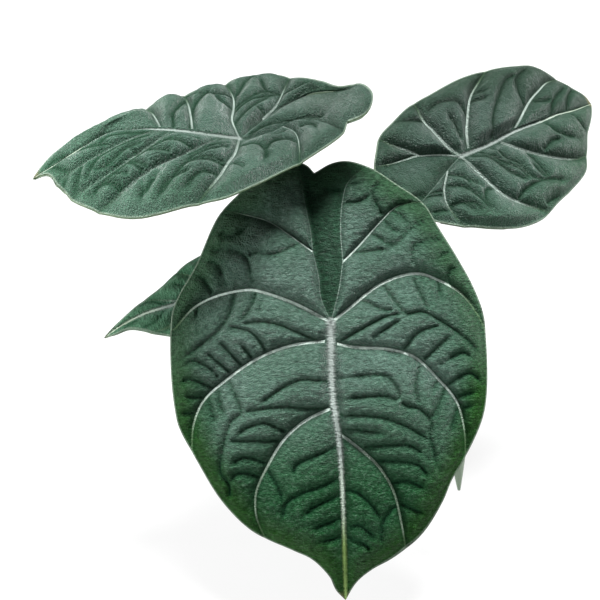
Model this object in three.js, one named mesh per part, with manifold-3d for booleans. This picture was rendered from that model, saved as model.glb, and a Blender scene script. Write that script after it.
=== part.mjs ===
// A potted alocasia: a nursery pot of soil with four quilted shield leaves and one young rolled leaf.
// Millimetres, +Z up, the pot's axis on Z, the front leaf towards -Y.
import * as THREE from "three";
import { mergeVertices } from "three/addons/utils/BufferGeometryUtils.js";
import Module from "manifold-3d";

// Pot
const POT_BASE_RADIUS = 39;
const POT_SHOULDER_RADIUS = 50.5;
const POT_SHOULDER_HEIGHT = 84;
const POT_RIM_RADIUS = 54.6;
const POT_HEIGHT = 97;
const POT_WALL = 1.5;
const POT_FLOOR = 2;
const POT_SIDES = 40;
const DRAIN_HOLES = 5;
const DRAIN_RADIUS = 4.5;
const DRAIN_CIRCLE = 26;

// Soil
const SOIL_HEIGHT = 87;
const SOIL_SIDES = 30;
const SOIL_RINGS = [9, 18, 27, 36, 43];
const FIT_GAP = 0.3;

// Leaves
const BLADE_THICKNESS = 1.0;
const MARGIN_THICKNESS = 0.8;
const RIB_DEPTH = 1.8;
const MIDRIB_HALF_WIDTH = 2.1;
const CELL_RELIEF = 0.65;
const SWELL_SHARE = 0.105;
const SWELL_LIMIT = 3.4;

// Stalks
const STALK_SIDES = 9;
const STALK_STEPS = 12;
const STALK_FOOT_RADIUS = 4.4;
const STALK_FOOT_DEPTH = 22;
const STALK_CIRCLE = 9.5;

// Each blade is drawn flat in its own frame: u runs from the stalk to the tip, v to the side, w up
// out of the upper face. heading, pitch and roll are in degrees. arch shapes the bent surface.
// Margins run from the tip to the notch. rows is the count of cells' half steps along a vein.
const LEAVES = {
  front: {
    at: [2.6, -70, 150],
    heading: -90,
    pitch: 60,
    roll: 0,
    arch: { rise: 0.15, fall: 0.0022, back: -0.0008, dome: 750, roof: 0 },
    rows: 16,
    columns: 5,
    midrib: [[0, 0], [14, 0], [38, 1], [58, 4], [88, 6], [114, 7], [142, 8]],
    right: {
      margin: [
        [142, 8], [132, 13], [125, 20], [118, 31], [106, 45], [90, 55], [78, 60], [66, 67], [47, 75],
        [34, 77], [10, 77], [-3, 76], [-17, 71], [-32, 63], [-47, 54], [-59, 47], [-69, 33],
        [-77, 21], [-81, 9], [-80, 1], [-75, -8],
      ],
      laterals: [
        [[55, 5], [60, 12], [70, 23], [83, 31], [98, 35], [114, 38]],
        [[10, 2], [12, 12], [13, 28], [17, 41], [28, 53], [39, 62], [53, 66], [66, 67]],
      ],
      first: [[0, 0], [-8, 10], [-18, 23], [-23, 35], [-24, 44], [-21, 53], [-14, 65], [-2, 74], [5, 77]],
      costa: [[0, 0], [-16, 4], [-30, 6]],
      lobe: [[-30, 6], [-45, 5], [-60, 6], [-70, 9], [-78, 18]],
      branch: [[-30, 6], [-38, 14], [-50, 25], [-58, 34], [-60, 46]],
    },
    left: {
      margin: [
        [142, 8], [136, 3], [129, 0], [119, -9], [114, -19], [105, -38], [90, -53], [69, -66],
        [52, -75], [43, -77], [24, -79], [-3, -79], [-12, -76], [-28, -67], [-53, -56], [-64, -46],
        [-75, -34], [-81, -21], [-79, -12], [-75, -8],
      ],
      laterals: [
        [[42, -1], [48, -13], [57, -23], [70, -31], [84, -37], [97, -37], [108, -33]],
        [[9, -2], [11, -19], [17, -35], [27, -50], [39, -63], [51, -68], [64, -69]],
      ],
      first: [[0, 0], [-9, -17], [-15, -34], [-16, -40], [-13, -56], [-7, -68], [4, -78]],
      costa: [[0, 0], [-12, -5], [-22, -6], [-35, -9]],
      lobe: [[-35, -9], [-45, -10], [-60, -13], [-72, -15], [-80, -17]],
      branch: [[-35, -9], [-43, -20], [-50, -31], [-53, -41], [-56, -54]],
    },
  },
  left: {
    at: [-42, -25.2, 227.4],
    heading: 193,
    pitch: 0,
    roll: -14,
    arch: { rise: 0.42, fall: 0.0052, back: 0.012, dome: 860, roof: 0.33 },
    rows: 12,
    columns: 4,
    midrib: [[0, 0], [15, 1], [32, -1], [49, -5], [63, -8], [75, -3], [88, 1], [101, 2]],
    right: {
      margin: [
        [101, 2], [94, 5], [89, 15], [82, 27], [74, 34], [64, 41], [56, 44], [46, 45], [27, 44],
        [15, 44], [4, 39], [-7, 31], [-17, 24], [-27, 19], [-35, 17], [-48, 13], [-52, 7],
      ],
      laterals: [
        [[40, -1], [55, 3], [66, 6], [74, 8], [83, 10], [91, 12]],
        [[34, 0], [44, 8], [56, 14], [65, 18], [75, 21], [85, 23]],
        [[10, 1], [18, 9], [32, 17], [42, 20], [54, 25], [66, 32], [73, 35]],
      ],
      first: [[0, 0], [5, 14], [10, 22], [15, 30], [24, 40], [28, 44]],
      costa: [[0, 0], [-8, -4], [-16, -8], [-24, -12]],
      lobe: [[-24, -12], [-30, -13], [-38, -8], [-44, 0], [-49, 12]],
      branch: [[-24, -12], [-28, -6], [-29, 0], [-28, 9], [-26, 19]],
    },
    left: {
      margin: [
        [101, 2], [96, -3], [89, -9], [73, -16], [56, -24], [43, -32], [33, -39], [22, -41],
        [12, -46], [1, -52], [-9, -61], [-19, -64], [-29, -61], [-40, -48], [-47, -35], [-54, -20],
        [-61, -12], [-64, -3], [-64, 6], [-60, 11], [-52, 7],
      ],
      laterals: [
        [[38, -4], [39, -14], [40, -24], [42, -33]],
        [[23, -1], [22, -12], [21, -26], [21, -42]],
      ],
      first: [[0, 0], [1, -15], [-2, -27], [-4, -39], [-3, -55]],
      costa: [[0, 0], [-8, -11], [-16, -20]],
      lobe: [[-16, -20], [-28, -29], [-40, -30], [-50, -22], [-58, -13]],
      branch: [[-16, -20], [-24, -29], [-29, -38], [-36, -52]],
    },
  },
  right: {
    at: [72.4, 16.7, 200.1],
    heading: 33,
    pitch: -7,
    roll: 36,
    arch: { rise: 0.2, fall: 0.003, back: 0.002, dome: 800, roof: 0.1 },
    rows: 12,
    columns: 4,
    midrib: [[0, 0], [18, -1], [36, 0], [57, 0], [70, 1], [85, 1], [104, 3]],
    right: {
      margin: [
        [104, 3], [103, 8], [98, 14], [94, 20], [90, 27], [81, 36], [68, 39], [50, 42], [29, 42],
        [8, 40], [-7, 39], [-22, 34], [-32, 30], [-39, 23], [-45, 15], [-47, 8], [-46, 3], [-41, 0],
      ],
      laterals: [
        [[37, 2], [43, 5], [51, 10], [60, 15], [70, 19], [81, 23], [92, 24]],
        [[6, 2], [10, 10], [16, 18], [26, 29], [39, 37], [48, 42]],
      ],
      first: [[0, 0], [-3, 7], [-5, 20], [-6, 27], [-4, 39]],
      costa: [[0, 0], [-9, 6], [-20, 11]],
      lobe: [[-20, 11], [-28, 12], [-36, 13], [-45, 15]],
      branch: [[-20, 11], [-24, 16], [-29, 22], [-33, 29]],
    },
    left: {
      margin: [
        [104, 3], [100, -1], [92, -8], [82, -16], [75, -25], [66, -35], [49, -42], [38, -45],
        [22, -50], [7, -49], [-6, -43], [-15, -37], [-27, -30], [-35, -24], [-42, -16], [-45, -8],
        [-45, -3], [-41, 0],
      ],
      laterals: [
        [[24, -3], [34, -12], [41, -17], [48, -21], [57, -25], [65, -27], [73, -27]],
      ],
      first: [[0, 0], [4, -16], [9, -30], [18, -40], [29, -48]],
      costa: [[0, 0], [-6, -2], [-11, -4]],
      lobe: [[-11, -4], [-20, -8], [-30, -12], [-42, -16]],
      branch: [[-11, -4], [-18, -12], [-21, -19], [-21, -27], [-19, -35]],
    },
  },
  back: {
    at: [-50.6, -22.4, 140.4],
    heading: 190,
    pitch: 18,
    roll: -34,
    arch: { rise: 0.45, fall: 0.0065, back: 0.004, dome: 500, roof: 0.25 },
    rows: 8,
    columns: 3,
    midrib: [[0, 0], [16, 0], [31, 0], [43, -1], [58, -1], [70, 0]],
    right: {
      margin: [
        [70, 0], [63, 2], [56, 3], [48, 7], [41, 12], [35, 16], [25, 22], [12, 27], [0, 30],
        [-12, 30], [-24, 26], [-33, 18], [-36, 10], [-33, 3], [-27, -1],
      ],
      laterals: [
        [[22, 1], [28, 7], [35, 11], [45, 10]],
        [[5, 1], [9, 9], [14, 16], [25, 22]],
      ],
      first: [[0, 0], [-3, 10], [-3, 20], [0, 30]],
      costa: [[0, 0], [-6, 3], [-12, 5]],
      lobe: [[-12, 5], [-20, 6], [-28, 8], [-36, 12]],
      branch: [[-12, 5], [-17, 12], [-22, 20], [-24, 26]],
    },
    left: {
      margin: [
        [70, 0], [63, -2], [56, -4], [46, -8], [33, -12], [20, -20], [9, -24], [-4, -28], [-16, -29],
        [-28, -25], [-35, -17], [-36, -9], [-33, -4], [-27, -1],
      ],
      laterals: [
        [[26, -1], [32, -4], [38, -7], [44, -9]],
        [[8, -1], [12, -7], [16, -14], [22, -18]],
      ],
      first: [[0, 0], [-2, -9], [-2, -18], [0, -27]],
      costa: [[0, 0], [-6, -3], [-12, -5]],
      lobe: [[-12, -5], [-20, -7], [-28, -10], [-36, -13]],
      branch: [[-12, -5], [-16, -12], [-20, -20], [-22, -28]],
    },
  },
};

// The rolled leaf hangs from its stalk. Its axis runs from the upper end to the tip.
const ROLL_TOP = [68, -43, 124];
const ROLL_MIDDLE = [70, -52, 92];
const ROLL_TIP = [72.5, -67.8, 43.7];
const ROLL_RADII = [2, 3.6, 5.6, 6.9, 7.4, 7.2, 6.6, 5.8, 4.9, 4, 3, 1.9, 0.7];
const ROLL_SIDES = 12;
const ROLL_TWIST = 1.1;
const ROLL_EDGE_STEP = 0.9;

// Stalks: foot angle on the circle in the soil, points up to the blade, and the place before the
// end, counted from the end.
const STALKS = {
  front: { foot: -90, via: [[1, -13, 112], [2, -28, 134]], bend: [0, 14, -5], top: 2.5 },
  left: { foot: 126, via: [[-9, 5, 130], [-22, -5, 180]], bend: [2, 4, -16], top: 2.3 },
  right: { foot: 54, via: [[10, 9, 120], [32, 17, 165]], bend: [-12, 3, -13], top: 2.2 },
  back: { foot: 198, via: [[-13, -3, 108], [-24, -7, 126]], bend: [9, 6, -4], top: 1.9 },
  young: { foot: -18, via: [[15, -7, 112], [34, -20, 140]], bend: [-9, 9, 14], top: 1.8 },
};

const wasm = await Module();
wasm.setup();
const { Manifold, Mesh } = wasm;

function solidOf(geometry) {
  const bare = new THREE.BufferGeometry();
  bare.setAttribute("position", geometry.getAttribute("position").clone());
  if (geometry.index) {
    bare.setIndex(geometry.index.clone());
  }
  const merged = mergeVertices(bare, 1e-4);
  const mesh = new Mesh({
    numProp: 3,
    vertProperties: new Float32Array(merged.getAttribute("position").array),
    triVerts: new Uint32Array(merged.index.array),
  });
  return new Manifold(mesh);
}

function geometryOf(solid) {
  const mesh = solid.getMesh();
  const geometry = new THREE.BufferGeometry();
  geometry.setAttribute("position", new THREE.BufferAttribute(mesh.vertProperties, 3));
  geometry.setIndex(new THREE.BufferAttribute(mesh.triVerts, 1));
  return geometry;
}

function geometryFrom(points, faces) {
  const geometry = new THREE.BufferGeometry();
  const flat = points.flatMap((p) => [p.x, p.y, p.z]);
  geometry.setAttribute("position", new THREE.Float32BufferAttribute(flat, 3));
  geometry.setIndex(faces.flat());
  return geometry;
}

function lathe(profile, sides) {
  const geometry = new THREE.LatheGeometry(
    profile.map(([r, z]) => new THREE.Vector2(r, z)),
    sides,
  );
  geometry.rotateX(Math.PI / 2);
  return geometry;
}

// A smooth curve through flat points, cut into equal steps.
function curveThrough(points) {
  const corners = points.map(([u, v]) => new THREE.Vector3(u, v, 0));
  return new THREE.CatmullRomCurve3(corners, false, "centripetal");
}

function evenly(points, steps) {
  return curveThrough(points).getSpacedPoints(steps);
}

// Part of a polyline between two places, cut into equal steps, without its two ends.
function between(line, from, to, steps) {
  const piece = line.slice(from, to + 1);
  const reach = [0];
  for (let i = 1; i < piece.length; i += 1) {
    reach.push(reach[i - 1] + piece[i].distanceTo(piece[i - 1]));
  }
  const result = [];
  let k = 1;
  for (let step = 1; step < steps; step += 1) {
    const goal = (reach[reach.length - 1] * step) / steps;
    while (reach[k] < goal) {
      k += 1;
    }
    const share = (goal - reach[k - 1]) / (reach[k] - reach[k - 1]);
    result.push(piece[k - 1].clone().lerp(piece[k], share));
  }
  return result;
}

function nearest(line, point) {
  let best = 0;
  line.forEach((p, i) => {
    if (p.distanceTo(point) < line[best].distanceTo(point)) {
      best = i;
    }
  });
  return best;
}

const easeBetween = (x, low, high) => THREE.MathUtils.smoothstep(x, low, high);

// Flat net of a blade: points with their relief and thickness, and triangles seen from above.
class Net {
  constructor() {
    this.points = [];
    this.relief = [];
    this.depth = [];
    this.faces = [];
  }

  add(point, relief = 0, depth = BLADE_THICKNESS) {
    this.points.push(new THREE.Vector3(point.x, point.y, 0));
    this.relief.push(relief);
    this.depth.push(depth);
    return this.points.length - 1;
  }

  face(a, b, c) {
    if (a !== b && b !== c && c !== a) {
      this.faces.push([a, b, c]);
    }
  }

  // Turns the faces from this one on, so that together they are seen from above.
  settle(start) {
    const area = ([a, b, c]) => {
      const [p, q, r] = [this.points[a], this.points[b], this.points[c]];
      return (q.x - p.x) * (r.y - p.y) - (q.y - p.y) * (r.x - p.x);
    };
    const fresh = this.faces.slice(start);
    if (fresh.reduce((sum, face) => sum + area(face), 0) < 0) {
      fresh.forEach((face) => face.reverse());
    }
  }

  line(start, points, end = null) {
    const ids = [start, ...points.map((p) => this.add(p))];
    if (end !== null) {
      ids.push(end);
    }
    return ids;
  }

  // Fills the space between two veins. Both have the same count of points. puff raises the space
  // and cells its rows.
  panel(a, b, trunk, edge, puff = 1, cells = 1) {
    const rows = a.length - 1;
    const columns = edge.length - 1;
    const at = (id) => this.points[id];
    const corner = [at(a[0]), at(b[0]), at(a[rows]), at(b[rows])];
    const grid = [];
    for (let i = 0; i <= rows; i += 1) {
      const s = i / rows;
      const width = at(a[i]).distanceTo(at(b[i]));
      const swell = Math.min(SWELL_LIMIT, SWELL_SHARE * width) * (1 - 0.55 * easeBetween(s, 0.75, 1));
      const row = [];
      for (let j = 0; j <= columns; j += 1) {
        const t = j / columns;
        const arc = Math.pow(Math.sin(Math.PI * t), 0.7);
        const ripple = (i % 2 ? CELL_RELIEF : -CELL_RELIEF) * Math.min(1, width / 12);
        const relief = arc * (puff * swell + (i < rows ? cells * ripple : 0));
        if (j === 0 || j === columns) {
          row.push(j === 0 ? a[i] : b[i]);
        } else if (i === 0 && trunk) {
          row.push(trunk[j]);
        } else if (i === 0) {
          row.push(a[0]);
        } else if (i === rows) {
          this.relief[edge[j]] = relief;
          row.push(edge[j]);
        } else {
          const foot = trunk ? at(trunk[j]) : corner[0];
          const point = new THREE.Vector3()
            .addScaledVector(at(a[i]), 1 - t)
            .addScaledVector(at(b[i]), t)
            .addScaledVector(foot, 1 - s)
            .addScaledVector(at(edge[j]), s)
            .addScaledVector(corner[0], -(1 - s) * (1 - t))
            .addScaledVector(corner[1], -(1 - s) * t)
            .addScaledVector(corner[2], -s * (1 - t))
            .addScaledVector(corner[3], -s * t);
          row.push(this.add(point, relief));
        }
      }
      grid.push(row);
    }
    const start = this.faces.length;
    for (let i = 0; i < rows; i += 1) {
      for (let j = 0; j < columns; j += 1) {
        this.quad(grid[i][j], grid[i + 1][j], grid[i + 1][j + 1], grid[i][j + 1]);
      }
    }
    this.settle(start);
  }

  quad(a, b, c, d) {
    const at = (id) => this.points[id];
    if (at(a).distanceTo(at(c)) <= at(b).distanceTo(at(d))) {
      this.face(a, b, c);
      this.face(a, c, d);
    } else {
      this.face(a, b, d);
      this.face(b, c, d);
    }
  }

  // Fills the strip between two lines that share their ends.
  strip(left, right) {
    const start = this.faces.length;
    let i = 0;
    let j = 0;
    const gap = (a, b) => this.points[a].distanceTo(this.points[b]);
    while (i < left.length - 1 || j < right.length - 1) {
      const canLeft = i < left.length - 1;
      const canRight = j < right.length - 1;
      const leftFirst =
        canLeft && (!canRight || gap(left[i + 1], right[j]) <= gap(left[i], right[j + 1]));
      if (leftFirst) {
        this.face(left[i], left[i + 1], right[j]);
        i += 1;
      } else {
        this.face(left[i], right[j + 1], right[j]);
        j += 1;
      }
    }
    this.settle(start);
  }
}

function midribWidth(share) {
  const start = easeBetween(share, 0, 0.05);
  return MIDRIB_HALF_WIDTH * start * (1 - 0.82 * share);
}

// One side of a blade, from the tip panel to the lobe. Returns the ids that the other side joins.
function sideOf(net, leaf, side, hub, tip, turn) {
  const { rows, columns } = leaf;
  const spine = evenly(leaf.midrib, 240);
  const rim = evenly(side.margin, 400);
  const rib = spine.map((p, i) => {
    const ahead = spine[Math.min(i + 1, 240)].clone().sub(spine[Math.max(i - 1, 0)]).normalize();
    const across = new THREE.Vector3(-ahead.y, ahead.x, 0);
    return p.clone().addScaledVector(across, turn * midribWidth(i / 240));
  });
  const costaRows = columns;
  const flat = ([u, v]) => new THREE.Vector3(u, v, 0);

  // Where each side vein leaves the midrib, from the stalk to the tip.
  const veins = [...side.laterals].reverse();
  const starts = veins.map((points) => nearest(spine, flat(points[0])));
  const ribIds = [hub];
  const ribParts = [];
  let last = 0;
  starts.forEach((start) => {
    const ids = net.line(ribIds[ribIds.length - 1], between(rib, last, start, columns));
    ids.push(net.add(rib[start]));
    ribParts.push(ids);
    ribIds.push(...ids.slice(1));
    last = start;
  });
  const ribRest = net.line(ribIds[ribIds.length - 1], between(rib, last, 240, rows), tip);
  ribIds.push(...ribRest.slice(1));

  const vein = (origin, points) => {
    const ends = [net.points[origin].x, net.points[origin].y];
    const dense = evenly([ends, ...points.slice(1)], rows * 8);
    const place = nearest(rim, flat(points[points.length - 1]));
    const inner = between([...dense.slice(0, -1), rim[place]], 0, rows * 8, rows);
    const end = net.add(rim[place], 0, MARGIN_THICKNESS);
    return { ids: net.line(origin, inner, end), place };
  };
  const first = vein(hub, side.first);
  const laterals = veins.map((points, i) => vein(ribParts[i][columns], points));
  const costaLine = evenly(side.costa, costaRows * 8);
  const costaIds = net.line(hub, between(costaLine, 0, costaRows * 8, costaRows));
  costaIds.push(net.add(costaLine[costaRows * 8]));
  const fork = costaIds[costaRows];
  const branch = vein(fork, side.branch);
  const lobe = vein(fork, side.lobe);

  const rimIds = (from, to, a, b, steps) => {
    const ids = net.line(a, between(rim, from, to, steps), b);
    ids.slice(1, -1).forEach((id) => {
      net.depth[id] = MARGIN_THICKNESS;
    });
    return ids;
  };
  const outward = [...laterals].reverse();
  let edge = rimIds(0, outward[0].place, tip, outward[0].ids[rows], columns);
  net.panel(ribRest, outward[0].ids, null, edge);
  const chain = [...outward, first];
  for (let k = 1; k < chain.length; k += 1) {
    const [far, near] = [chain[k - 1], chain[k]];
    edge = rimIds(far.place, near.place, far.ids[rows], near.ids[rows], columns);
    const trunk = [...ribParts[chain.length - 1 - k]].reverse();
    net.panel(far.ids, near.ids, trunk, edge);
  }
  edge = rimIds(first.place, branch.place, first.ids[rows], branch.ids[rows], columns);
  net.panel(first.ids, branch.ids, costaIds, edge);
  edge = rimIds(branch.place, lobe.place, branch.ids[rows], lobe.ids[rows], columns);
  net.panel(branch.ids, lobe.ids, null, edge);

  return {
    ribIds,
    costa: [...costaIds, ...lobe.ids.slice(1)],
    rest: (steps, notch) => rimIds(lobe.place, 400, lobe.ids[rows], notch, steps),
  };
}

function heightOf(arch, u, v) {
  const bend = u > 0 ? -arch.fall : arch.back;
  const fold = arch.roof * easeBetween(u, -10, 60);
  return arch.rise * u + bend * u * u - (v * v) / arch.dome - fold * (Math.hypot(v, 4) - 4);
}

function frameOf(leaf) {
  const [h, p, r] = [leaf.heading, leaf.pitch, leaf.roll].map(THREE.MathUtils.degToRad);
  const ahead = new THREE.Vector3(Math.cos(h), Math.sin(h), 0);
  const aside = new THREE.Vector3(-Math.sin(h), Math.cos(h), 0);
  const up = new THREE.Vector3(0, 0, 1);
  const u = ahead.clone().multiplyScalar(Math.cos(p)).addScaledVector(up, -Math.sin(p));
  const over = ahead.clone().multiplyScalar(Math.sin(p)).addScaledVector(up, Math.cos(p));
  const v = aside.clone().multiplyScalar(Math.cos(r)).addScaledVector(over, Math.sin(r));
  const w = over.clone().multiplyScalar(Math.cos(r)).addScaledVector(aside, -Math.sin(r));
  return { origin: new THREE.Vector3(...leaf.at), u, v, w };
}

function flatNet(leaf) {
  const net = new Net();
  const spine = evenly(leaf.midrib, leaf.rows * 2);
  const hub = net.add(spine[0], 0, BLADE_THICKNESS + RIB_DEPTH);
  const tip = net.add(spine[leaf.rows * 2], 0, MARGIN_THICKNESS);
  const notch = net.add(new THREE.Vector3(...leaf.right.margin.at(-1), 0), -1, MARGIN_THICKNESS);
  const centre = net.line(hub, spine.slice(1, -1), tip);
  centre.slice(1, -1).forEach((id, i) => {
    const share = (i + 1) / (leaf.rows * 2);
    net.relief[id] = -0.3;
    net.depth[id] = BLADE_THICKNESS + RIB_DEPTH * (1 - 0.85 * share);
  });
  const right = sideOf(net, leaf, leaf.right, hub, tip, 1);
  const left = sideOf(net, leaf, leaf.left, hub, tip, -1);
  net.strip(centre, right.ribIds);
  net.strip(left.ribIds, centre);
  const steps = Math.max(2, leaf.columns - 1);
  const edge = [...right.rest(steps, notch), ...left.rest(steps, notch).reverse().slice(1)];
  net.panel(right.costa, left.costa, null, edge, -1, 0.3);
  return net;
}

// Bends the net, gives it thickness and closes it along the margin.
function bladeOf(leaf) {
  const net = flatNet(leaf);
  const frame = frameOf(leaf);
  const top = net.points.map((p, i) =>
    frame.origin
      .clone()
      .addScaledVector(frame.u, p.x)
      .addScaledVector(frame.v, p.y)
      .addScaledVector(frame.w, heightOf(leaf.arch, p.x, p.y) + net.relief[i]),
  );
  const normals = top.map(() => new THREE.Vector3());
  net.faces.forEach(([a, b, c]) => {
    const normal = top[b].clone().sub(top[a]).cross(top[c].clone().sub(top[a]));
    [a, b, c].forEach((id) => normals[id].add(normal));
  });
  const under = top.map((p, i) =>
    p.clone().addScaledVector(normals[i].normalize(), -net.depth[i]),
  );
  const count = top.length;
  const faces = [];
  const sides = new Map();
  net.faces.forEach(([a, b, c]) => {
    faces.push([a, b, c], [c + count, b + count, a + count]);
    [[a, b], [b, c], [c, a]].forEach(([p, q]) => {
      if (!sides.delete(`${q} ${p}`)) {
        sides.set(`${p} ${q}`, [p, q]);
      }
    });
  });
  sides.forEach(([p, q]) => {
    faces.push([p, p + count, q], [q, p + count, q + count]);
  });
  return { geometry: geometryFrom([...top, ...under], faces), join: under[0], normal: normals[0] };
}

// A closed tube along a smooth path, with a radius at each step. Its last ring lies square to facing.
function tubeOf(points, radii, sides, facing) {
  const path = new THREE.CatmullRomCurve3(points, false, "centripetal");
  const steps = radii.length - 1;
  const centres = path.getSpacedPoints(steps);
  const frames = path.computeFrenetFrames(steps, false);
  const ring = [];
  const faces = [];
  centres.forEach((centre, i) => {
    for (let k = 0; k < sides; k += 1) {
      const angle = (k / sides) * Math.PI * 2;
      ring.push(
        centre
          .clone()
          .addScaledVector(frames.normals[i], Math.cos(angle) * radii[i])
          .addScaledVector(frames.binormals[i], Math.sin(angle) * radii[i]),
      );
    }
  });
  const tangent = frames.tangents[steps];
  ring.slice(-sides).forEach((p) => {
    const shift = centres[steps].clone().sub(p).dot(facing) / tangent.dot(facing);
    p.addScaledVector(tangent, shift);
  });
  for (let i = 0; i < steps; i += 1) {
    for (let k = 0; k < sides; k += 1) {
      const a = i * sides + k;
      const b = i * sides + ((k + 1) % sides);
      faces.push([a, b, a + sides], [b, b + sides, a + sides]);
    }
  }
  for (let k = 1; k < sides - 1; k += 1) {
    faces.push([0, k + 1, k], [steps * sides, steps * sides + k, steps * sides + k + 1]);
  }
  return geometryFrom(ring, faces);
}

function stalkPoints(stalk, join, normal) {
  const angle = THREE.MathUtils.degToRad(stalk.foot);
  const [x, y] = [Math.cos(angle) * STALK_CIRCLE, Math.sin(angle) * STALK_CIRCLE];
  const end = join.clone().addScaledVector(normal, -FIT_GAP);
  return [
    new THREE.Vector3(x * 0.9, y * 0.9, SOIL_HEIGHT - STALK_FOOT_DEPTH),
    new THREE.Vector3(x, y, SOIL_HEIGHT - 4),
    ...stalk.via.map((p) => new THREE.Vector3(...p)),
    end.clone().add(new THREE.Vector3(...stalk.bend)),
    end,
  ];
}

function stalkRadii(top, extra) {
  const radii = [];
  for (let i = 0; i <= STALK_STEPS; i += 1) {
    const share = i / STALK_STEPS;
    const swell = 1 - easeBetween(share, 0, 0.45);
    radii.push(top + (STALK_FOOT_RADIUS - top) * (0.35 * (1 - share) + 0.65 * swell) + extra);
  }
  return radii;
}

// The rolled blade: rings with a step where its outer edge overlaps.
function rolledLeaf() {
  const axis = new THREE.CatmullRomCurve3(
    [ROLL_TOP, ROLL_MIDDLE, ROLL_TIP].map((p) => new THREE.Vector3(...p)),
  );
  const steps = ROLL_RADII.length - 1;
  const centres = axis.getSpacedPoints(steps);
  const frames = axis.computeFrenetFrames(steps, false);
  const points = [];
  const faces = [];
  const ringSize = ROLL_SIDES + 1;
  centres.forEach((centre, i) => {
    for (let k = 0; k < ringSize; k += 1) {
      const share = k / ROLL_SIDES;
      const angle = (share * 0.985 + 0.2) * Math.PI * 2 + ROLL_TWIST * (i / steps);
      const radius = ROLL_RADII[i] + ROLL_EDGE_STEP * share * Math.min(1, ROLL_RADII[i] / 6);
      points.push(
        centre
          .clone()
          .addScaledVector(frames.normals[i], Math.cos(angle) * radius)
          .addScaledVector(frames.binormals[i], Math.sin(angle) * radius),
      );
    }
  });
  for (let i = 0; i < steps; i += 1) {
    for (let k = 0; k < ringSize; k += 1) {
      const a = i * ringSize + k;
      const b = i * ringSize + ((k + 1) % ringSize);
      faces.push([a, b, a + ringSize], [b, b + ringSize, a + ringSize]);
    }
  }
  for (let k = 1; k < ringSize - 1; k += 1) {
    faces.push([0, k + 1, k], [steps * ringSize, steps * ringSize + k, steps * ringSize + k + 1]);
  }
  return geometryFrom(points, faces);
}

function potSolid() {
  const body = lathe(
    [
      [0, 0],
      [POT_BASE_RADIUS - 1.5, 0],
      [POT_BASE_RADIUS, 1.5],
      [POT_SHOULDER_RADIUS, POT_SHOULDER_HEIGHT],
      [POT_RIM_RADIUS - 1, POT_SHOULDER_HEIGHT + 0.6],
      [POT_RIM_RADIUS, POT_HEIGHT - 1.4],
      [POT_RIM_RADIUS - 0.6, POT_HEIGHT],
      [POT_RIM_RADIUS - 1.8, POT_HEIGHT],
      [POT_RIM_RADIUS - 2.4, POT_HEIGHT - 0.8],
      [POT_SHOULDER_RADIUS - POT_WALL, POT_SHOULDER_HEIGHT],
      [POT_BASE_RADIUS - POT_WALL, POT_FLOOR + 1],
      [POT_BASE_RADIUS - POT_WALL - 1, POT_FLOOR],
      [0, POT_FLOOR],
    ],
    POT_SIDES,
  );
  let solid = solidOf(body);
  for (let i = 0; i < DRAIN_HOLES; i += 1) {
    const angle = (i / DRAIN_HOLES) * Math.PI * 2;
    const hole = Manifold.cylinder(POT_FLOOR * 3, DRAIN_RADIUS, DRAIN_RADIUS, 16, true);
    const place = [Math.cos(angle) * DRAIN_CIRCLE, Math.sin(angle) * DRAIN_CIRCLE, 0];
    solid = solid.subtract(hole.translate(place));
  }
  return solid;
}

// Gentle mounds over the soil, lower towards the pot's wall.
function soilHeight(x, y) {
  const mounds = Math.sin(x * 0.17 + 1.3) * Math.cos(y * 0.21 - 0.4) + 0.6 * Math.sin(x * 0.31 - y * 0.27);
  const slope = 1 - easeBetween(Math.hypot(x, y), 10, 48);
  return SOIL_HEIGHT + 0.9 * mounds + 1.6 * slope;
}

function soilSolid(holes) {
  const points = [];
  const faces = [];
  const shoulder = POT_SHOULDER_RADIUS - POT_WALL - FIT_GAP;
  const sideRings = [
    [shoulder + 0.6, SOIL_HEIGHT - 0.8],
    [shoulder, POT_SHOULDER_HEIGHT],
    [POT_BASE_RADIUS - POT_WALL - FIT_GAP, POT_FLOOR + FIT_GAP + 1],
    [POT_BASE_RADIUS - POT_WALL - FIT_GAP - 1, POT_FLOOR + FIT_GAP],
  ];
  points.push(new THREE.Vector3(0, 0, soilHeight(0, 0)));
  [...SOIL_RINGS.map((r) => [r, null]), ...sideRings].forEach(([radius, height]) => {
    for (let k = 0; k < SOIL_SIDES; k += 1) {
      const angle = (k / SOIL_SIDES) * Math.PI * 2;
      const [x, y] = [Math.cos(angle) * radius, Math.sin(angle) * radius];
      points.push(new THREE.Vector3(x, y, height === null ? soilHeight(x, y) : height));
    }
  });
  const rings = SOIL_RINGS.length + sideRings.length;
  points.push(new THREE.Vector3(0, 0, POT_FLOOR + FIT_GAP));
  const last = points.length - 1;
  for (let k = 0; k < SOIL_SIDES; k += 1) {
    const next = (k + 1) % SOIL_SIDES;
    faces.push([0, 1 + k, 1 + next]);
    for (let i = 0; i < rings - 1; i += 1) {
      const a = 1 + i * SOIL_SIDES + k;
      const b = 1 + i * SOIL_SIDES + next;
      faces.push([a, a + SOIL_SIDES, b], [b, a + SOIL_SIDES, b + SOIL_SIDES]);
    }
    const lowest = 1 + (rings - 1) * SOIL_SIDES;
    faces.push([last, lowest + next, lowest + k]);
  }
  let solid = solidOf(geometryFrom(points, faces));
  holes.forEach((hole) => {
    solid = solid.subtract(hole);
  });
  return solid;
}

function paint(colour, roughness) {
  return new THREE.MeshStandardMaterial({ color: colour, roughness, metalness: 0 });
}

const part = new THREE.Group();
part.name = "potted_alocasia";

function addPiece(name, geometry, material) {
  const mesh = new THREE.Mesh(geometry, material);
  mesh.name = name;
  part.add(mesh);
}

addPiece("pot", geometryOf(potSolid()), paint(0x2b2b2d, 0.6));

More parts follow.
